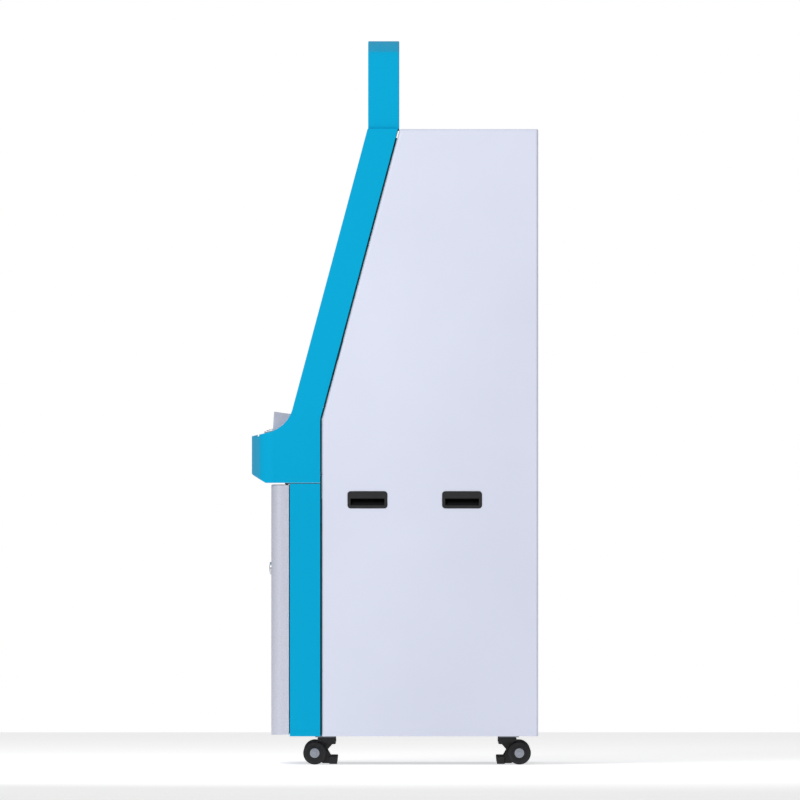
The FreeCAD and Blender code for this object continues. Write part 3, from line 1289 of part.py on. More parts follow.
def castor_wheels():
    """The pair of wheels on their axle."""
    inner = CASTOR_RIB / 2 + PEDAL_ARM + 2.5
    solids = [rod(-inner - 1, -WHEEL_OFFSET, WHEEL_RADIUS, AXLE_RADIUS, 2 * inner + 2, (1, 0, 0))]
    for side in (-1, 1):
        x0 = inner if side > 0 else -inner - WHEEL_WIDTH
        wheel = rod(x0, -WHEEL_OFFSET, WHEEL_RADIUS, WHEEL_RADIUS, WHEEL_WIDTH, (1, 0, 0))
        wheel = rounded_edges(wheel, 3.0, lambda e: e.Length > 100)
        face = x0 + (WHEEL_WIDTH if side > 0 else 0.0)
        dish = rod(face - 2.0, -WHEEL_OFFSET, WHEEL_RADIUS, 20.0, 4.0, (1, 0, 0))
        hub = rod(x0, -WHEEL_OFFSET, WHEEL_RADIUS, 8.0, WHEEL_WIDTH, (1, 0, 0))
        solids.append(join(cut(wheel, dish), hub))
    return join(*solids)


def castor_pedal():
    """The brake pedal: two arms hooked over the axle and a broad shoe just clear of the floor."""
    inner = CASTOR_RIB / 2 + 1.0
    outer = inner + PEDAL_ARM
    pieces = []
    for side in (-1, 1):
        x0, x1 = sorted((side * inner, side * outer))
        arm = side_extrusion(
            [
                (-WHEEL_OFFSET - 8, WHEEL_RADIUS - 8, 7.0),
                (-6.0, PEDAL_LIFT + 2, 4.0),
                (14.0, PEDAL_LIFT + 2, 0.0),
                (14.0, 20.0, 0.0),
                (5.0, 36.0, 3.0),
                (-WHEEL_OFFSET - 8, WHEEL_RADIUS + 8, 7.0),
            ],
            x0,
            x1,
        )
        bore = rod(x0 - 1, -WHEEL_OFFSET, WHEEL_RADIUS, AXLE_RADIUS + PIN_CLEARANCE, PEDAL_ARM + 2, (1, 0, 0))
        pieces.append(cut(arm, bore))
    shoe = side_extrusion(
        [(11.0, PEDAL_LIFT, 1.0), (31.0, PEDAL_LIFT, 2.0), (33.0, 20.5, 2.5), (11.0, 20.5, 1.0)], -18.0, 18.0
    )
    shoe = rounded_edges(shoe, 2.0, lambda e: on_plane(e, -18.0) or on_plane(e, 18.0))
    return join(*pieces, shoe)


def placed_castor(shape, x, y):
    """A castor piece moved to its place; wheels lead to the front in front and to the back at the back."""
    placed = shape.copy()
    turn = 0 if y < 0 else 180
    placed.Placement = Placement(Vector(x, y, 0), Rotation(Vector(0, 0, 1), turn))
    return placed


# ---------------------------------------------------------------- write the parts
def main():
    os.makedirs("parts", exist_ok=True)
    panel = side_panel()
    handles = [carry_handle(y) for y in HANDLE_YS]
    save("cabinet_frame", *cabinet_frame(), *castor_plates())
    save("right_side_panel", panel)
    save("left_side_panel", mirrored(panel))
    save("carry_handles", *handles, *[mirrored(h) for h in handles])
    save("top_cover", top_cover())
    save("lower_front_frame", lower_front_frame())
    save("hinge_pins", *hinge_pins())
    save("safe_body", *safe_body())
    save("cash_dispenser", *cash_dispenser())
    save("computer", *computer())
    save("mains_inlet", mains_inlet())
    save("lower_door_cover", lower_door_cover())
    save("vault_door", *vault_door())
    save("door_lock", door_lock())
    save("lock_bolts", lock_bolts())
    for number, floor in enumerate(CASSETTE_FLOORS, 1):
        save(f"cassette_{number}", cassette(floor))
    save("upper_front_frame", upper_front_frame())
    save("fascia_panel", *fascia_panel())
    save("touch_screen", touch_screen())
    save("lcd_monitor", lcd_monitor())
    save("card_reader", *card_reader())
    save("receipt_printer", *receipt_printer())
    save("paper_roll", paper_roll())
    save("cash_slot_bezel", cash_slot_bezel())
    save("cash_shutter", cash_shutter())
    save("crest_housing", crest_housing())
    save("crest_light_panel", crest_light_panel())
    save("pinpad_body", pinpad_body())
    save("privacy_hood", privacy_hood())
    for name, x, y in key_places():
        save(name, key(x, y))
    save("rear_door", rear_door())
    save("rear_door_lock", rear_door_lock())
    pieces = {"body": castor_body(), "wheels": castor_wheels(), "pedal": castor_pedal()}
    for (x, y), corner in zip(castor_places(), ("front_left", "front_right", "rear_left", "rear_right")):
        for name, shape in pieces.items():
            save(f"castor_{name}_{corner}", placed_castor(shape, x, y))


main()
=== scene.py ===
import json
import math

import bmesh
import bpy
from mathutils import Matrix, Vector


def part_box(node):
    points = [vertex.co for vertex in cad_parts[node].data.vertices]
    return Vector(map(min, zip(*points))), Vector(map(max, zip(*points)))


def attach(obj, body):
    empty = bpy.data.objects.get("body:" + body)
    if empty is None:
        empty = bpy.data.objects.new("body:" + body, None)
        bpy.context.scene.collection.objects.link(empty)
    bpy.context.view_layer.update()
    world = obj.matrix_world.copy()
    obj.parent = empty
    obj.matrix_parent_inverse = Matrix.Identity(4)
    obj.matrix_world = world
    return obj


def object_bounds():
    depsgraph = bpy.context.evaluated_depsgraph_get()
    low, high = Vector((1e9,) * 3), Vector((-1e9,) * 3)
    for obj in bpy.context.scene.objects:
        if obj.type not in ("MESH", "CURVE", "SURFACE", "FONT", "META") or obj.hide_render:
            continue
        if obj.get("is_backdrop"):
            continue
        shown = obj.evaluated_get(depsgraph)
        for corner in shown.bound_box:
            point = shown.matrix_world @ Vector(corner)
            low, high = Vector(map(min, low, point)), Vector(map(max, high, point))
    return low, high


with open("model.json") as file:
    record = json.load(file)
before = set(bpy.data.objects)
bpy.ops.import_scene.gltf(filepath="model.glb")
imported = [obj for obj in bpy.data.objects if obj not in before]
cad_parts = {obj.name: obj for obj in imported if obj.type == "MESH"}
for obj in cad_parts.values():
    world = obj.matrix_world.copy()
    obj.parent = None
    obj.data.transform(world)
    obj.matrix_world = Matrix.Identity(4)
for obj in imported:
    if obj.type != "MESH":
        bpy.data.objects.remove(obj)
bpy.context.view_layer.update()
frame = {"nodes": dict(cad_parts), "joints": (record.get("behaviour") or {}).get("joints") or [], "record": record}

NODES = frame["nodes"]

# ---------------------------------------------------------------- driving values, in metres
CAMERA_DISTANCE = 75.0
VIEW_CENTRE_Y = 0.01365
VIEW_CENTRE_Z = 0.9485
VIEW_SIZE = 2.080
SENSOR = 36.0
MM = 0.001
STUDIO_LEVEL = 0.34
BACKDROP_LEVEL = 1.0
FLOOR_GLOW = 0.5
FLOOR_HALF = 7.0
KEY_LIGHT = ((3.0, -1.5, 2.8), (0, 0, 1.4), 1.7, 73)
TOP_LIGHT = ((0, -0.5, 4.6), (0, 0, 0), 3.0, 36)

FASCIA_ABOVE_SHUTTER = 7.5 * MM
SLOTS_UP = 134.0 * MM
CAMERA_UP = 608.0 * MM
BEZEL_PROUD = 9.0 * MM
KEY_THICKNESS = 9.2 * MM
SCREEN_MARGIN = 22.0 * MM
SCREEN_PROUD = 4.05 * MM
SCREEN_LAYER = 0.06 * MM
LENS_BORDER, LENS_HEIGHT, LENS_CORNER, LENS_BEVEL = 3.0 * MM, 1.2 * MM, 4.0 * MM, 0.4 * MM
SYMBOL_ABOVE_SLOT = 46.0 * MM
SYMBOL_ABOVE_OUTLET = 52.0 * MM
CAMERA_PROUD = 3.0 * MM
SPEAKER_X = 150.0 * MM
SPEAKER_SIZE = (66.0 * MM, 34.0 * MM, 0.8 * MM, 3.0 * MM, 0.3 * MM)
SPEAKER_DEPTH = -6.0 * MM
DIGIT_SIZE = 9.0 * MM
DIGIT_RELIEF = 0.08 * MM
PIP_DROP = 4.3 * MM

BODY_FRONT = -189.0 * MM
GAP = 5.0 * MM
KINK = 898.3 * MM
KINK_EASE = 14.0 * MM
SEAL_X = (283.0 * MM, 291.0 * MM)
SEAL_FOOT = 76.0 * MM
SEAL_HEAD = 1630.0 * MM
SEAL_SLACK = 0.35 * MM
SEAL_CORNER = 1.2 * MM
LOCK_X = 150.0 * MM
LOCK_Z = 510.0 * MM
INLET_SCREW_SINK = 1.2 * MM
INLET_SCREW_EDGE = 5.5 * MM
INLET_SCREW_RADIUS = 2.6 * MM
VENT_HEIGHTS = (420.0 * MM, 1400.0 * MM)
VENT_SIDES = (-80.0 * MM, 80.0 * MM)
VENT_DEPTH = 2.0 * MM
HEADER_BAND_UP = 20.0 * MM


# ---------------------------------------------------------------- node helpers
def srgb(r, g, b):
    """A linear colour from 0-255 display values."""
    values = []
    for v in (r, g, b):
        c = v / 255.0
        values.append(c / 12.92 if c <= 0.04045 else ((c + 0.055) / 1.055) ** 2.4)
    return (*values, 1.0)


def scaled(colour, k):
    """A colour made lighter or darker."""
    return (*[min(1.0, c * k) for c in colour[:3]], 1.0)


class Shader:
    """A material with one Principled shader, and short ways to add detail nodes to it."""

    def __init__(self, name, **sockets):
        self.material = bpy.data.materials.new(name)
        self.material.use_nodes = True
        self.tree = self.material.node_tree
        self.tree.nodes.clear()
        self.output = self.node("OutputMaterial")
        self.bsdf = self.node("BsdfPrincipled")
        self.link(self.bsdf.outputs[0], self.output.inputs[0])
        self.coords = self.node("TexCoord").outputs["Object"]
        self.height = None
        for key, value in sockets.items():
            self.bsdf.inputs[key.replace("_", " ")].default_value = value

    def node(self, kind, **settings):
        made = self.tree.nodes.new("ShaderNode" + kind)
        for key, value in settings.items():
            setattr(made, key, value)
        return made

    def link(self, a, b):
        self.tree.links.new(a, b)

    def noise(self, scale, detail=2.0, stretch=None):
        """Noise at so many cycles to the metre; stretch scales the three axes."""
        made = self.node("TexNoise")
        made.inputs["Scale"].default_value = scale
        made.inputs["Detail"].default_value = detail
        source = self.coords
        if stretch:
            mapping = self.node("Mapping")
            mapping.inputs["Scale"].default_value = stretch
            self.link(source, mapping.inputs["Vector"])
            source = mapping.outputs[0]
        self.link(source, made.inputs["Vector"])
        return made.outputs["Fac"]

    def ramp(self, source, low, high, at=(0.3, 0.7)):
        """Blends two colours over a range of a value."""
        made = self.node("ValToRGB")
        made.color_ramp.elements[0].position = at[0]
        made.color_ramp.elements[0].color = low
        made.color_ramp.elements[1].position = at[1]
        made.color_ramp.elements[1].color = high
        self.link(source, made.inputs["Fac"])
        return made.outputs["Color"]

    def span(self, source, low, high):
        """Maps 0-1 to low-high."""
        made = self.node("MapRange")
        made.inputs["To Min"].default_value = low
        made.inputs["To Max"].default_value = high
        self.link(source, made.inputs["Value"])
        return made.outputs[0]

    def edges(self, radius):
        """1 along sharp edges, 0 on flat faces."""
        bevel = self.node("Bevel", samples=4)
        bevel.inputs["Radius"].default_value = radius
        geometry = self.node("NewGeometry")
        dot = self.node("VectorMath", operation="DOT_PRODUCT")
        self.link(bevel.outputs[0], dot.inputs[0])
        self.link(geometry.outputs["Normal"], dot.inputs[1])
        made = self.node("MapRange")
        made.inputs["From Min"].default_value = 0.995
        made.inputs["From Max"].default_value = 0.8
        self.link(dot.outputs["Value"], made.inputs["Value"])
        return made.outputs[0]

    def mix(self, factor, a, b):
        """Mixes two colours; a and b may be sockets or colours."""
        made = self.node("Mix", data_type="RGBA")
        self.link(factor, made.inputs[0])
        for socket, value in ((made.inputs[6], a), (made.inputs[7], b)):
            if isinstance(value, tuple):
                socket.default_value = value
            else:
                self.link(value, socket)
        return made.outputs[2]

    def colour(self, source):
        self.link(source, self.bsdf.inputs["Base Color"])

    def roughness(self, source):
        self.link(source, self.bsdf.inputs["Roughness"])

    def bump(self, source, distance, strength=1.0):
        """Adds a height to the surface; calls stack."""
        made = self.node("Bump")
        made.inputs["Strength"].default_value = strength
        made.inputs["Distance"].default_value = distance
        self.link(source, made.inputs["Height"])
        if self.height:
            self.link(self.height, made.inputs["Normal"])
        self.height = made.outputs[0]
        self.link(self.height, self.bsdf.inputs["Normal"])


# ---------------------------------------------------------------- materials
def paint(name, colour, roughness=0.38, peel=0.00006, coat=0.25, vary=0.03, gloss=0.22):
    """Powder-coated sheet: orange peel, faint mottling and a painted highlight that lightens the sharp edges."""
    s = Shader(name, Coat_Weight=coat, Coat_Roughness=0.22, Specular_IOR_Level=gloss)
    mottle = s.ramp(s.noise(2.2, 3.0), scaled(colour, 1.0 - vary), scaled(colour, 1.0 + vary))
    # painted highlight: colour on sharp edges is lifted by 12 % to stand in for light caught on their rounding
    s.colour(s.mix(s.edges(0.0012), mottle, scaled(colour, 1.12)))
    s.roughness(s.span(s.noise(60.0, 4.0), roughness - 0.05, roughness + 0.07))
    s.bump(s.noise(520.0, 2.0), peel)
    s.bump(s.noise(9.0, 1.0), 0.0004, 0.35)
    return s.material


def metallic_paint(name, colour):
    """Silver paint with fine flakes under a clear coat."""
    s = Shader(name, Metallic=0.55, Coat_Weight=0.4, Coat_Roughness=0.12)
    flakes = s.node("TexVoronoi")
    flakes.inputs["Scale"].default_value = 1500.0
    s.link(s.coords, flakes.inputs["Vector"])
    s.colour(s.ramp(flakes.outputs["Color"], scaled(colour, 0.9), scaled(colour, 1.1)))
    s.roughness(s.span(s.noise(40.0, 4.0), 0.3, 0.42))
    s.bump(s.noise(430.0, 2.0), 0.00004)
    return s.material


def plastic(name, colour, roughness=0.5, grain=0.00008, vary=0.12):
    """Moulded plastic with a fine leathery grain."""
    s = Shader(name, Specular_IOR_Level=0.45)
    s.colour(s.ramp(s.noise(25.0, 4.0), scaled(colour, 1.0 - vary), scaled(colour, 1.0 + vary)))
    s.roughness(s.span(s.noise(180.0, 3.0), roughness - 0.07, roughness + 0.1))
    s.bump(s.noise(1400.0, 2.0), grain)
    return s.material


def brushed(name, colour, roughness=0.3, along=(1.0, 60.0, 60.0)):
    """Brushed metal; along stretches the scratches along one axis."""
    s = Shader(name, Metallic=1.0)
    lines = s.noise(40.0, 6.0, along)
    s.colour(s.ramp(lines, scaled(colour, 0.86), scaled(colour, 1.08)))
    s.roughness(s.span(lines, roughness - 0.08, roughness + 0.14))
    s.bump(lines, 0.00003)
    return s.material


def hammered(name, colour):
    """Hammer-finish safe paint."""
    s = Shader(name, Metallic=0.3, Coat_Weight=0.3, Coat_Roughness=0.2)
    cells = s.node("TexVoronoi", feature="SMOOTH_F1")
    cells.inputs["Scale"].default_value = 240.0
    s.link(s.coords, cells.inputs["Vector"])
    s.colour(s.ramp(cells.outputs["Distance"], scaled(colour, 0.8), scaled(colour, 1.15), (0.1, 0.6)))
    s.roughness(s.span(cells.outputs["Distance"], 0.3, 0.5))
    s.bump(cells.outputs["Distance"], 0.0003, 0.6)
    return s.material


def tinted(name, colour, alpha_transmission, roughness):
    """Translucent moulded acrylic or glass."""
    s = Shader(name, Transmission_Weight=alpha_transmission, IOR=1.49, Roughness=roughness)
    s.colour(s.ramp(s.noise(30.0, 2.0), scaled(colour, 0.96), scaled(colour, 1.04)))
    s.bump(s.noise(300.0, 1.0), 0.00003)
    return s.material


def lit(name, colour, strength):
    """A lit lens or screen area, with a faint pixel-scale unevenness."""
    s = Shader(name, Roughness=0.35)
    tone = s.ramp(s.noise(90.0, 2.0), scaled(colour, 0.94), colour)
    s.colour(tone)
    s.link(tone, s.bsdf.inputs["Emission Color"])
    s.bsdf.inputs["Emission Strength"].default_value = strength
    return s.material


CYAN = srgb(8, 160, 204)
MATERIALS = {
    "cyan_paint": paint("cyan_paint", CYAN, 0.4, coat=0.0, gloss=0.025),
    "grey_paint": paint("grey_paint", srgb(211, 215, 231), 0.42, coat=0.08, gloss=0.15),
    "silver_paint": metallic_paint("silver_paint", srgb(208, 210, 225)),
    "frame_steel": paint("frame_steel", srgb(120, 124, 130), 0.45),
    "safe_paint": hammered("safe_paint", srgb(96, 102, 110)),
    "bright_steel": brushed("bright_steel", srgb(205, 205, 208)),
    "black_plastic": plastic("black_plastic", srgb(17, 17, 20), 0.5),
    "grey_plastic": plastic("grey_plastic", srgb(150, 154, 164), 0.45),
    "module_grey": plastic("module_grey", srgb(84, 88, 96), 0.5),
    "fascia_grey": paint("fascia_grey", srgb(62, 66, 76), 0.36),
    "glass": plastic("glass", srgb(10, 11, 14), 0.08, grain=0.0),
    "light_panel": lit("light_panel", srgb(216, 238, 250), 0.5),
    "hood_smoke": tinted("hood_smoke", srgb(248, 244, 255), 0.5, 0.2),
    "paper": plastic("paper", srgb(240, 240, 236), 0.7, grain=0.00002, vary=0.02),
    "wheel_tread": plastic("wheel_tread", srgb(22, 22, 25), 0.62, grain=0.0001),
}
MATERIALS.update({
    "screen_blue": lit("screen_blue", srgb(28, 108, 178), 0.55),
    "screen_deep": lit("screen_deep", srgb(14, 60, 120), 0.5),
    "screen_pale": lit("screen_pale", srgb(206, 232, 246), 0.5),
    "screen_white": lit("screen_white", srgb(240, 248, 252), 0.55),
    "screen_cyan": lit("screen_cyan", srgb(30, 168, 214), 0.5),
    "lens_green": lit("lens_green", srgb(70, 220, 120), 0.7),
    "lens_blue": lit("lens_blue", srgb(80, 190, 250), 0.7),
    "icon_white": plastic("icon_white", srgb(226, 230, 236), 0.5, grain=0.00002, vary=0.03),
    "speaker_cloth": plastic("speaker_cloth", srgb(12, 12, 14), 0.8, grain=0.0003),
    # printed marks on the keys; also the dark bar that paints the keyway's shade
    "ink_and_keyway_shade": plastic("ink_and_keyway_shade", srgb(20, 20, 24), 0.5, grain=0.00001),
    "key_red": plastic("key_red", srgb(206, 38, 34), 0.4, grain=0.00002),
    "key_yellow": plastic("key_yellow", srgb(238, 196, 36), 0.4, grain=0.00002),
    "key_green": plastic("key_green", srgb(38, 160, 74), 0.4, grain=0.00002),
    # dark teal seal: the rubber's tone is painted shade of the door gap, tinted by a painted reflection of the
    # blue doors
    "seal_tone_painted_gap_shade": plastic("seal_tone_painted_gap_shade", srgb(18, 78, 92), 0.6, grain=0.00006),
})


def dress_cad_nodes():
    """Gives every CAD node the material of its slot."""
    slots = {part["node"]: part["material_slot"] for part in frame["record"]["subparts"]}
    for name, obj in NODES.items():
        for material_slot in obj.material_slots:
            material_slot.material = MATERIALS[slots[name]]


# ---------------------------------------------------------------- frames of reference
def joint(name):
    """One joint of the record."""
    return next(j for j in frame["joints"] if j["name"] == name)


def middle(node):
    """The middle of a CAD node's box."""
    low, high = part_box(node)
    return (low + high) / 2


def facing(right, up, origin):
    """A matrix whose X runs right, Y runs up and Z stands out of the surface."""
    right, up = Vector(right).normalized(), Vector(up).normalized()
    out = right.cross(up)
    columns = Matrix((right, up, out)).transposed()
    return Matrix.Translation(origin) @ columns.to_4x4()


SLOPE_UP = -Vector(joint("shutter_slide")["axis"])
SHUTTER_MIDDLE = middle("cash_shutter")


def on_fascia(x, up, out=0.0):
    """A place on the fascia's face: x across, up from the note outlet's middle, out from the plate."""
    out_of_plate = Vector((1, 0, 0)).cross(SLOPE_UP)
    origin = SHUTTER_MIDDLE + SLOPE_UP * up + out_of_plate * (FASCIA_ABOVE_SHUTTER + out)
    origin.x = x
    return facing((1, 0, 0), SLOPE_UP, origin)


def on_key(name):
    """The middle of a key's top."""
    out = -Vector(joint(name + "_press")["axis"]).normalized()
    up = out.cross(Vector((1, 0, 0)))
    return facing((1, 0, 0), up, middle(name) + out * KEY_THICKNESS / 2)


# ---------------------------------------------------------------- mesh helpers
def finish_mesh(name, mesh, matrix, material, body, smooth=True):
    """Makes an object of a bmesh, at a place, riding on a body."""
    bmesh.ops.recalc_face_normals(mesh, faces=mesh.faces)
    data = bpy.data.meshes.new(name)
    mesh.to_mesh(data)
    mesh.free()
    data.transform(matrix)
    if smooth:
        data.shade_smooth()
        data.set_sharp_from_angle(angle=math.radians(35))
    data.materials.append(MATERIALS[material])
    obj = bpy.data.objects.new(name, data)
    bpy.context.scene.collection.objects.link(obj)
    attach(obj, body)
    return obj


def outline_points(width, height, radius, steps=6):
    """A rounded rectangle's points, anticlockwise about the origin."""
    points = []
    centres = ((1, 1, 0), (-1, 1, 90), (-1, -1, 180), (1, -1, 270))
    for sx, sy, start in centres:
        cx, cy = sx * (width / 2 - radius), sy * (height / 2 - radius)
        for i in range(steps + 1):
            angle = math.radians(start + 90.0 * i / steps)
            points.append((cx + radius * math.cos(angle), cy + radius * math.sin(angle)))
    return points


def loft(mesh, rings):
    """Joins rings of equally many points with quads."""
    rows = [[mesh.verts.new(p) for p in ring] for ring in rings]
    count = len(rows[0])
    for low, high in zip(rows, rows[1:]):
        for i in range(count):
            j = (i + 1) % count
            mesh.faces.new((low[i], low[j], high[j], high[i]))
    return rows


def slab(mesh, width, height, thickness, radius, bevel, x=0.0, y=0.0, z=0.0):
    """A rounded plate with a soft front edge, its back at z."""
    rings = []
    eased = bevel * 0.3
    section = ((0, 0), (0, thickness - bevel), (eased, thickness - eased), (bevel, thickness))
    for inset, level in section:
        points = outline_points(width - 2 * inset, height - 2 * inset, max(radius - inset, 0.2 * MM))
        rings.append([(px + x, py + y, z + level) for px, py in points])
    rows = loft(mesh, rings)
    mesh.faces.new(rows[0][::-1])
    mesh.faces.new(rows[-1])


def frame_ring(mesh, width, height, border, thickness, radius, bevel):
    """A rounded rectangular ring with soft front edges."""
    rings = []
    section = (
        (0, 0), (0, thickness - bevel), (bevel, thickness),
        (border - bevel, thickness), (border, thickness - bevel), (border, 0),
    )
    for inset, level in section:
        points = outline_points(width - 2 * inset, height - 2 * inset, max(radius - inset, 0.3 * MM))
        rings.append([(px, py, level) for px, py in points])
    rows = loft(mesh, rings)
    count = len(rows[0])
    for i in range(count):
        j = (i + 1) % count
        mesh.faces.new((rows[-1][i], rows[-1][j], rows[0][j], rows[0][i]))


def lathe(mesh, profile, steps=28, at=(0.0, 0.0, 0.0), hexagons=()):
    """Turns a profile of (radius, z) about Z; rings listed in hexagons are six-sided."""
    rows = []
    for index, (radius, level) in enumerate(profile):
        row = []
        for i in range(steps):
            angle = 2 * math.pi * i / steps
            reach = radius
            if index in hexagons:
                turned = (angle + math.pi / 6) % (math.pi / 3) - math.pi / 6
                reach = radius / math.cos(turned)
            row.append((at[0] + reach * math.cos(angle), at[1] + reach * math.sin(angle), at[2] + level))
        rows.append(row)
    made = loft(mesh, rows)
    mesh.faces.new(made[0][::-1])
    mesh.faces.new(made[-1])


def screw_head(mesh, radius, x, y, z=0.0):
    """A low domed screw head with a hexagonal socket."""
    r = radius
    profile = (
        (r, 0), (r, 0.25 * r), (0.93 * r, 0.42 * r), (0.75 * r, 0.56 * r), (0.5 * r, 0.6 * r),
        (0.42 * r, 0.56 * r), (0.4 * r, 0.2 * r),
    )
    lathe(mesh, profile, 24, (x, y, z), hexagons=(4, 5, 6))


def screws(name, places, radius, matrix, body, material="bright_steel"):
    """A set of equal screw heads on one surface."""
    mesh = bmesh.new()
    for x, y in places:
        screw_head(mesh, radius, x, y)
    return finish_mesh(name, mesh, matrix, material, body)


# ---------------------------------------------------------------- fascia details
def screen_image():
    """A plain menu on the display: a header band, a middle panel and two columns of soft keys."""
    low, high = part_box("touch_screen")
    width = high.x - low.x - 2 * SCREEN_MARGIN
    height = (high.z - low.z) / SLOPE_UP.z - 2 * SCREEN_MARGIN
    up = (middle("touch_screen") - SHUTTER_MIDDLE).dot(SLOPE_UP)
    layers = (
        ("screen_ground", "screen_blue", ((0, 0, width, height, 2 * MM),)),
        ("screen_header", "screen_deep", ((0, height * 0.42, width * 0.98, height * 0.12, 2 * MM),)),
        ("screen_panel", "screen_pale", ((0, -height * 0.06, width * 0.4, height * 0.62, 6 * MM),)),
        ("screen_choices", "screen_white", tuple(
            (side * width * 0.36, height * (0.2 - 0.17 * row), width * 0.22, height * 0.11, 5 * MM)
            for side in (-1, 1) for row in range(4)
        )),
        ("screen_marks", "screen_cyan", tuple(
            (0, height * (0.12 - 0.12 * row), width * (0.3 - 0.06 * (row % 2)), height * 0.035, 3 * MM)
            for row in range(4)
        )),
    )
    for index, (name, material, plates) in enumerate(layers):
        mesh = bmesh.new()
        for x, y, w, h, r in plates:
            slab(mesh, w, h, SCREEN_LAYER, r, SCREEN_LAYER / 3, x, y)
        place = on_fascia(0, up, SCREEN_PROUD + index * SCREEN_LAYER)
        finish_mesh(name, mesh, place, material, "upper_front")


def slot_lens(node, up, width, height, colour):
    """A lit translucent ring round a slot's mouth."""
    mesh = bmesh.new()
    frame_ring(mesh, width, height, LENS_BORDER, LENS_HEIGHT, LENS_CORNER, LENS_BEVEL)
    finish_mesh(node + "_lens", mesh, on_fascia(middle(node).x, up, BEZEL_PROUD), colour, "upper_front")


def icon_plate(name, x, up, shapes):
    """A small symbol of thin pale shapes on the fascia."""
    mesh = bmesh.new()
    for sx, sy, w, h, r in shapes:
        slab(mesh, w * MM, h * MM, 0.25 * MM, r * MM, 0.08 * MM, sx * MM, sy * MM)
    finish_mesh(name, mesh, on_fascia(x, up), "icon_white", "upper_front")


def border(w, h, line):
    """Four thin bars that frame a symbol."""
    return [
        (0, h / 2, w + line, line, line / 2.2), (0, -h / 2, w + line, line, line / 2.2),
        (-w / 2, 0, line, h, line / 2.2), (w / 2, 0, line, h, line / 2.2),
    ]


def fascia_icons():
    """Generic symbols: a card, a receipt and a banknote."""
    card = border(22, 14, 1.2) + [(0, 3, 22, 2.6, 0.4), (-5, -3, 7, 1.2, 0.5)]
    receipt = border(13, 18, 1.2) + [(0, 4.5 - 3.5 * i, 8, 1.1, 0.5) for i in range(4)]
    note = border(30, 15, 1.2) + [(0, 0, 8, 8, 3.9), (-11, 4, 3, 3, 1.4), (11, -4, 3, 3, 1.4)]
    icon_plate("card_symbol", middle("card_reader").x, SLOTS_UP + SYMBOL_ABOVE_SLOT, card)
    icon_plate("receipt_symbol", middle("receipt_printer").x, SLOTS_UP + SYMBOL_ABOVE_SLOT, receipt)
    icon_plate("note_symbol", 0.0, SYMBOL_ABOVE_OUTLET, note)


def camera_lens():
    """The camera's ring and domed glass."""
    ring = bmesh.new()
    profile = ((8.4, 0), (8.4, 1.6), (7.8, 2.2), (6.2, 2.2), (5.6, 1.0))
    lathe(ring, [(r * MM, z * MM) for r, z in profile], 40)
    place = on_fascia(0, CAMERA_UP, CAMERA_PROUD)
    finish_mesh("camera_ring", ring, place, "black_plastic", "upper_front")
    dome = bmesh.new()
    steps = [(5.5 * math.cos(a) * MM, 3.2 * math.sin(a) * MM) for a in (i * math.pi / 16 for i in range(8))]
    lathe(dome, [(r, z + 1.0 * MM) for r, z in steps], 32)
    finish_mesh("camera_glass", dome, place, "glass", "upper_front")


def speaker_backs():
    """Dark plates behind the speaker slots."""
    mesh = bmesh.new()
    for x in (-SPEAKER_X, SPEAKER_X):
        slab(mesh, *SPEAKER_SIZE, x, 0)
    place = on_fascia(0, CAMERA_UP, SPEAKER_DEPTH)
    finish_mesh("speaker_cloth", mesh, place, "speaker_cloth", "upper_front")


# ---------------------------------------------------------------- keypad details
def key_marks():
    """Digits, and generic cancel, clear and enter marks, on the keys' tops."""
    for digit in range(10):
        node = f"key_{digit}"
        data = bpy.data.curves.new(f"digit_{digit}", "FONT")
        data.body = str(digit)
        data.size = DIGIT_SIZE
        data.extrude = DIGIT_RELIEF
        data.align_x = "CENTER"
        data.align_y = "CENTER"
        data.materials.append(MATERIALS["ink_and_keyway_shade"])
        obj = bpy.data.objects.new(f"digit_{digit}", data)
        obj.matrix_world = on_key(node)
        bpy.context.scene.collection.objects.link(obj)
        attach(obj, node)
    bars = {
        "key_cancel": ("key_red", [(0, 0, 8, 1.6, 45), (0, 0, 8, 1.6, -45)]),
        "key_clear": (
            "key_yellow", [(0.6, 0, 7.5, 1.6, 0), (-1.9, 1.5, 4.4, 1.6, 40), (-1.9, -1.5, 4.4, 1.6, -40)],
        ),
        "key_enter": ("key_green", []),
        "key_point": ("ink_and_keyway_shade", [(0, -1.5, 1.8, 1.8, 0)]),
    }
    for node, (material, marks) in bars.items():
        mesh = bmesh.new()
        for x, y, w, h, angle in marks:
            part = bmesh.new()
            slab(part, w * MM, h * MM, 0.3 * MM, 0.6 * MM, 0.1 * MM)
            turn = Matrix.Translation((x * MM, y * MM, 0)) @ Matrix.Rotation(math.radians(angle), 4, "Z")
            bmesh.ops.transform(part, matrix=turn, verts=part.verts)
            scratch = bpy.data.meshes.new("scratch")
            part.to_mesh(scratch)
            part.free()
            mesh.from_mesh(scratch)
            bpy.data.meshes.remove(scratch)
        if not marks:
            ring = ((3.6 * MM, 0), (3.6 * MM, 0.3 * MM), (2.2 * MM, 0.3 * MM), (2.2 * MM, 0.0))
            lathe(mesh, ring, 32)
        finish_mesh(node + "_mark", mesh, on_key(node), material, node)
    pip = bmesh.new()
    lathe(pip, ((0.9 * MM, 0), (0.8 * MM, 0.4 * MM), (0.3 * MM, 0.6 * MM)), 16, (0, -PIP_DROP, 0))
    finish_mesh("key_5_pip", pip, on_key("key_5"), "bright_steel", "key_5")


# ---------------------------------------------------------------- seal and lock
def seal_section(y, z, turn):
    """The seal's rounded section across the gap, at one place on the gap's middle line."""
    x0, x1 = SEAL_X
    half = GAP / 2 - SEAL_SLACK
    ring = []
    for px, across in outline_points(x1 - x0, 2 * half, SEAL_CORNER, 3):
        ring.append(((x0 + x1) / 2 + px, y + across * math.cos(turn), z - across * math.sin(turn)))
    return ring


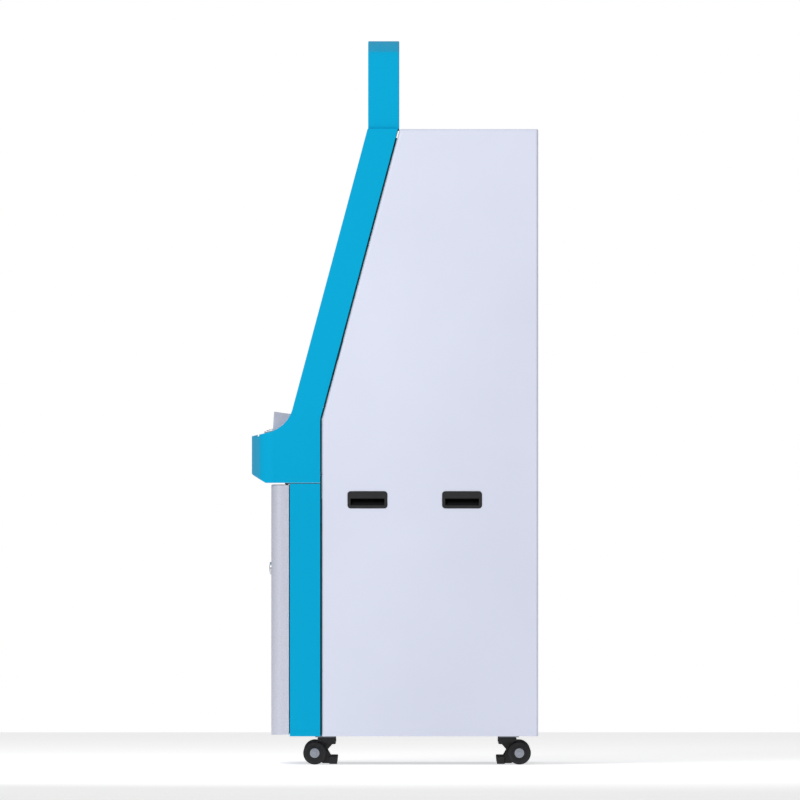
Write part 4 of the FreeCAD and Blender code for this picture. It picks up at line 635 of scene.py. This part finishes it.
def front_seal():
    """The rubber seal of both front doors, in the gap along the cabinet's free edge; its dark teal tone is painted
    shade of the gap with a painted reflection of the blue doors.
    """
    lean = math.atan2(SLOPE_UP.y, SLOPE_UP.z)
    y = BODY_FRONT - GAP / 2
    rise = SEAL_HEAD - KINK
    path = [(y, SEAL_FOOT, 0.0), (y, KINK - KINK_EASE, 0.0), (y, KINK, lean / 2)]
    for share in (0.02, 0.35, 0.7, 1.0):
        path.append((y + rise * share * math.tan(lean), KINK + rise * share, lean))
    mesh = bmesh.new()
    rows = loft(mesh, [seal_section(*place) for place in path])
    mesh.faces.new(rows[0][::-1])
    mesh.faces.new(rows[-1])
    # the seal's dark teal material paints the gap's shade and the blue doors' reflection into it
    finish_mesh("front_seal", mesh, Matrix.Identity(4), "seal_tone_painted_gap_shade", "root")


def lock_escutcheon():
    """The lock's ring, and its keyway drawn as a dark bar that paints the shade of the slot, on the lower door's
    round lock.
    """
    face = facing((1, 0, 0), (0, 0, 1), (LOCK_X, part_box("door_lock")[0].y, LOCK_Z))
    ring = bmesh.new()
    profile = ((9.5, 0), (9.5, 0.5), (8.2, 0.8), (7.6, 0.2))
    lathe(ring, [(r * MM, z * MM) for r, z in profile], 40)
    finish_mesh("door_lock_ring", ring, face, "black_plastic", "door_lock")
    # painted shade: a dark bar stands in for the shaded slot of the keyway
    key = bmesh.new()
    slab(key, 2.2 * MM, 10.0 * MM, 0.9 * MM, 0.9 * MM, 0.2 * MM)
    finish_mesh("door_lock_keyway", key, face, "ink_and_keyway_shade", "door_lock")


# ---------------------------------------------------------------- castors, inlet and header
def vent_filters():
    """Dark dust filters, in thin rims, behind the rear door's vent slots."""
    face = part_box("rear_door")[1].y
    for side in VENT_SIDES:
        for height in VENT_HEIGHTS:
            tag = f"{'left' if side < 0 else 'right'}_{'low' if height < 1.0 else 'high'}"
            place = facing((1, 0, 0), (0, 0, 1), (side, face - VENT_DEPTH, height))
            mesh = bmesh.new()
            slab(mesh, 132 * MM, 116 * MM, 3.0 * MM, 4 * MM, 0.8 * MM)
            finish_mesh("vent_filter_" + tag, mesh, place, "speaker_cloth", "rear_door")
            mesh = bmesh.new()
            frame_ring(mesh, 138 * MM, 122 * MM, 6 * MM, 4.0 * MM, 6 * MM, 0.8 * MM)
            finish_mesh("vent_rim_" + tag, mesh, place, "grey_plastic", "rear_door")


def hub_caps():
    """A stepped cap on the outer face of each castor wheel."""
    steps = ((12.5, 0), (12.5, 0.6), (11.5, 1.2), (8.5, 1.2), (7.8, 0.5), (5.2, 0.5), (4.4, 1.4), (1.2, 1.7))
    cap = [(r * MM, z * MM) for r, z in steps]
    for corner in ("front_left", "front_right", "rear_left", "rear_right"):
        node = "castor_wheels_" + corner
        low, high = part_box(node)
        centre = middle(node)
        for side, x in ((-1, low.x), (1, high.x)):
            mesh = bmesh.new()
            lathe(mesh, cap, 32)
            place = facing((0, side, 0), (0, 0, 1), (x, centre.y, centre.z))
            finish_mesh(f"hub_{corner}_{'left' if side < 0 else 'right'}", mesh, place, "grey_plastic", node)


def inlet_screws():
    """The two screws of the mains inlet."""
    low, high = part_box("mains_inlet")
    centre = middle("mains_inlet")
    place = facing((-1, 0, 0), (0, 0, 1), (centre.x, high.y - INLET_SCREW_SINK, centre.z))
    reach = (high.x - low.x) / 2 - INLET_SCREW_EDGE
    screws("mains_inlet_screws", ((-reach, 0), (reach, 0)), INLET_SCREW_RADIUS, place, "root")


def header_panel():
    """A plain two-tone band and a border on the lit header."""
    low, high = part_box("crest_light_panel")
    centre = middle("crest_light_panel")
    place = facing((1, 0, 0), (0, 0, 1), (centre.x, low.y, low.z + HEADER_BAND_UP))
    mesh = bmesh.new()
    slab(mesh, high.x - low.x - 24 * MM, 9 * MM, 0.3 * MM, 2 * MM, 0.1 * MM)
    finish_mesh("header_band", mesh, place, "screen_cyan", "upper_front")
    mesh = bmesh.new()
    slab(mesh, high.x - low.x - 60 * MM, 2.4 * MM, 0.3 * MM, 1.1 * MM, 0.1 * MM, 0, 13 * MM)
    finish_mesh("header_line", mesh, place, "screen_blue", "upper_front")


# ---------------------------------------------------------------- stage
def add_floor():
    """A plain pale floor."""
    mesh = bmesh.new()
    bmesh.ops.create_grid(mesh, x_segments=2, y_segments=2, size=FLOOR_HALF)
    data = bpy.data.meshes.new("floor")
    mesh.to_mesh(data)
    mesh.free()
    floor = bpy.data.objects.new("floor", data)
    bpy.context.scene.collection.objects.link(floor)
    s = Shader("floor", Roughness=0.9, Emission_Strength=FLOOR_GLOW, Emission_Color=(1, 1, 1, 1))
    s.colour(s.ramp(s.noise(1.0, 2.0), (0.9, 0.9, 0.9, 1), (0.93, 0.93, 0.93, 1)))
    data.materials.append(s.material)
    floor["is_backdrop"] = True


def add_light(name, place, aim, size, power):
    """A soft square light aimed at a point."""
    data = bpy.data.lights.new(name, "AREA")
    data.size = size
    data.energy = power
    obj = bpy.data.objects.new(name, data)
    obj.location = place
    obj.rotation_euler = (Vector(aim) - Vector(place)).to_track_quat("-Z", "Y").to_euler()
    bpy.context.scene.collection.objects.link(obj)


def add_world(strength):
    """An even white studio."""
    world = bpy.data.worlds.new("studio")
    world.use_nodes = True
    background = world.node_tree.nodes["Background"]
    background.inputs["Color"].default_value = (1, 1, 1, 1)
    rays = world.node_tree.nodes.new("ShaderNodeLightPath")
    level = world.node_tree.nodes.new("ShaderNodeMapRange")
    level.inputs["To Min"].default_value = strength
    level.inputs["To Max"].default_value = BACKDROP_LEVEL
    world.node_tree.links.new(rays.outputs["Is Camera Ray"], level.inputs["Value"])
    world.node_tree.links.new(level.outputs[0], background.inputs["Strength"])
    bpy.context.scene.world = world


def add_camera():
    """The side view, from the machine's right, at the height of its middle."""
    data = bpy.data.cameras.new("camera")
    data.sensor_width = SENSOR
    data.lens = SENSOR * (CAMERA_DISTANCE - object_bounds()[1][0]) / VIEW_SIZE
    data.clip_start = 1.0
    data.clip_end = 200.0
    camera = bpy.data.objects.new("camera", data)
    camera.location = (CAMERA_DISTANCE, VIEW_CENTRE_Y, VIEW_CENTRE_Z)
    camera.rotation_euler = (math.pi / 2, 0, math.pi / 2)
    bpy.context.scene.collection.objects.link(camera)
    bpy.context.scene.camera = camera


def set_stage():
    add_floor()
    add_world(STUDIO_LEVEL)
    add_light("key", *KEY_LIGHT)
    add_light("top", *TOP_LIGHT)
    add_camera()
    bpy.context.scene.view_settings.view_transform = "Standard"


dress_cad_nodes()
screen_image()
slot_lens("card_reader", SLOTS_UP, 68 * MM, 16 * MM, "lens_green")
slot_lens("receipt_printer", SLOTS_UP, 94 * MM, 22 * MM, "lens_blue")
slot_lens("cash_slot_bezel", 0.0, 196 * MM, 46 * MM, "lens_green")
fascia_icons()
camera_lens()
speaker_backs()
key_marks()
front_seal()
lock_escutcheon()
hub_caps()
vent_filters()
inlet_screws()
header_panel()
set_stage()
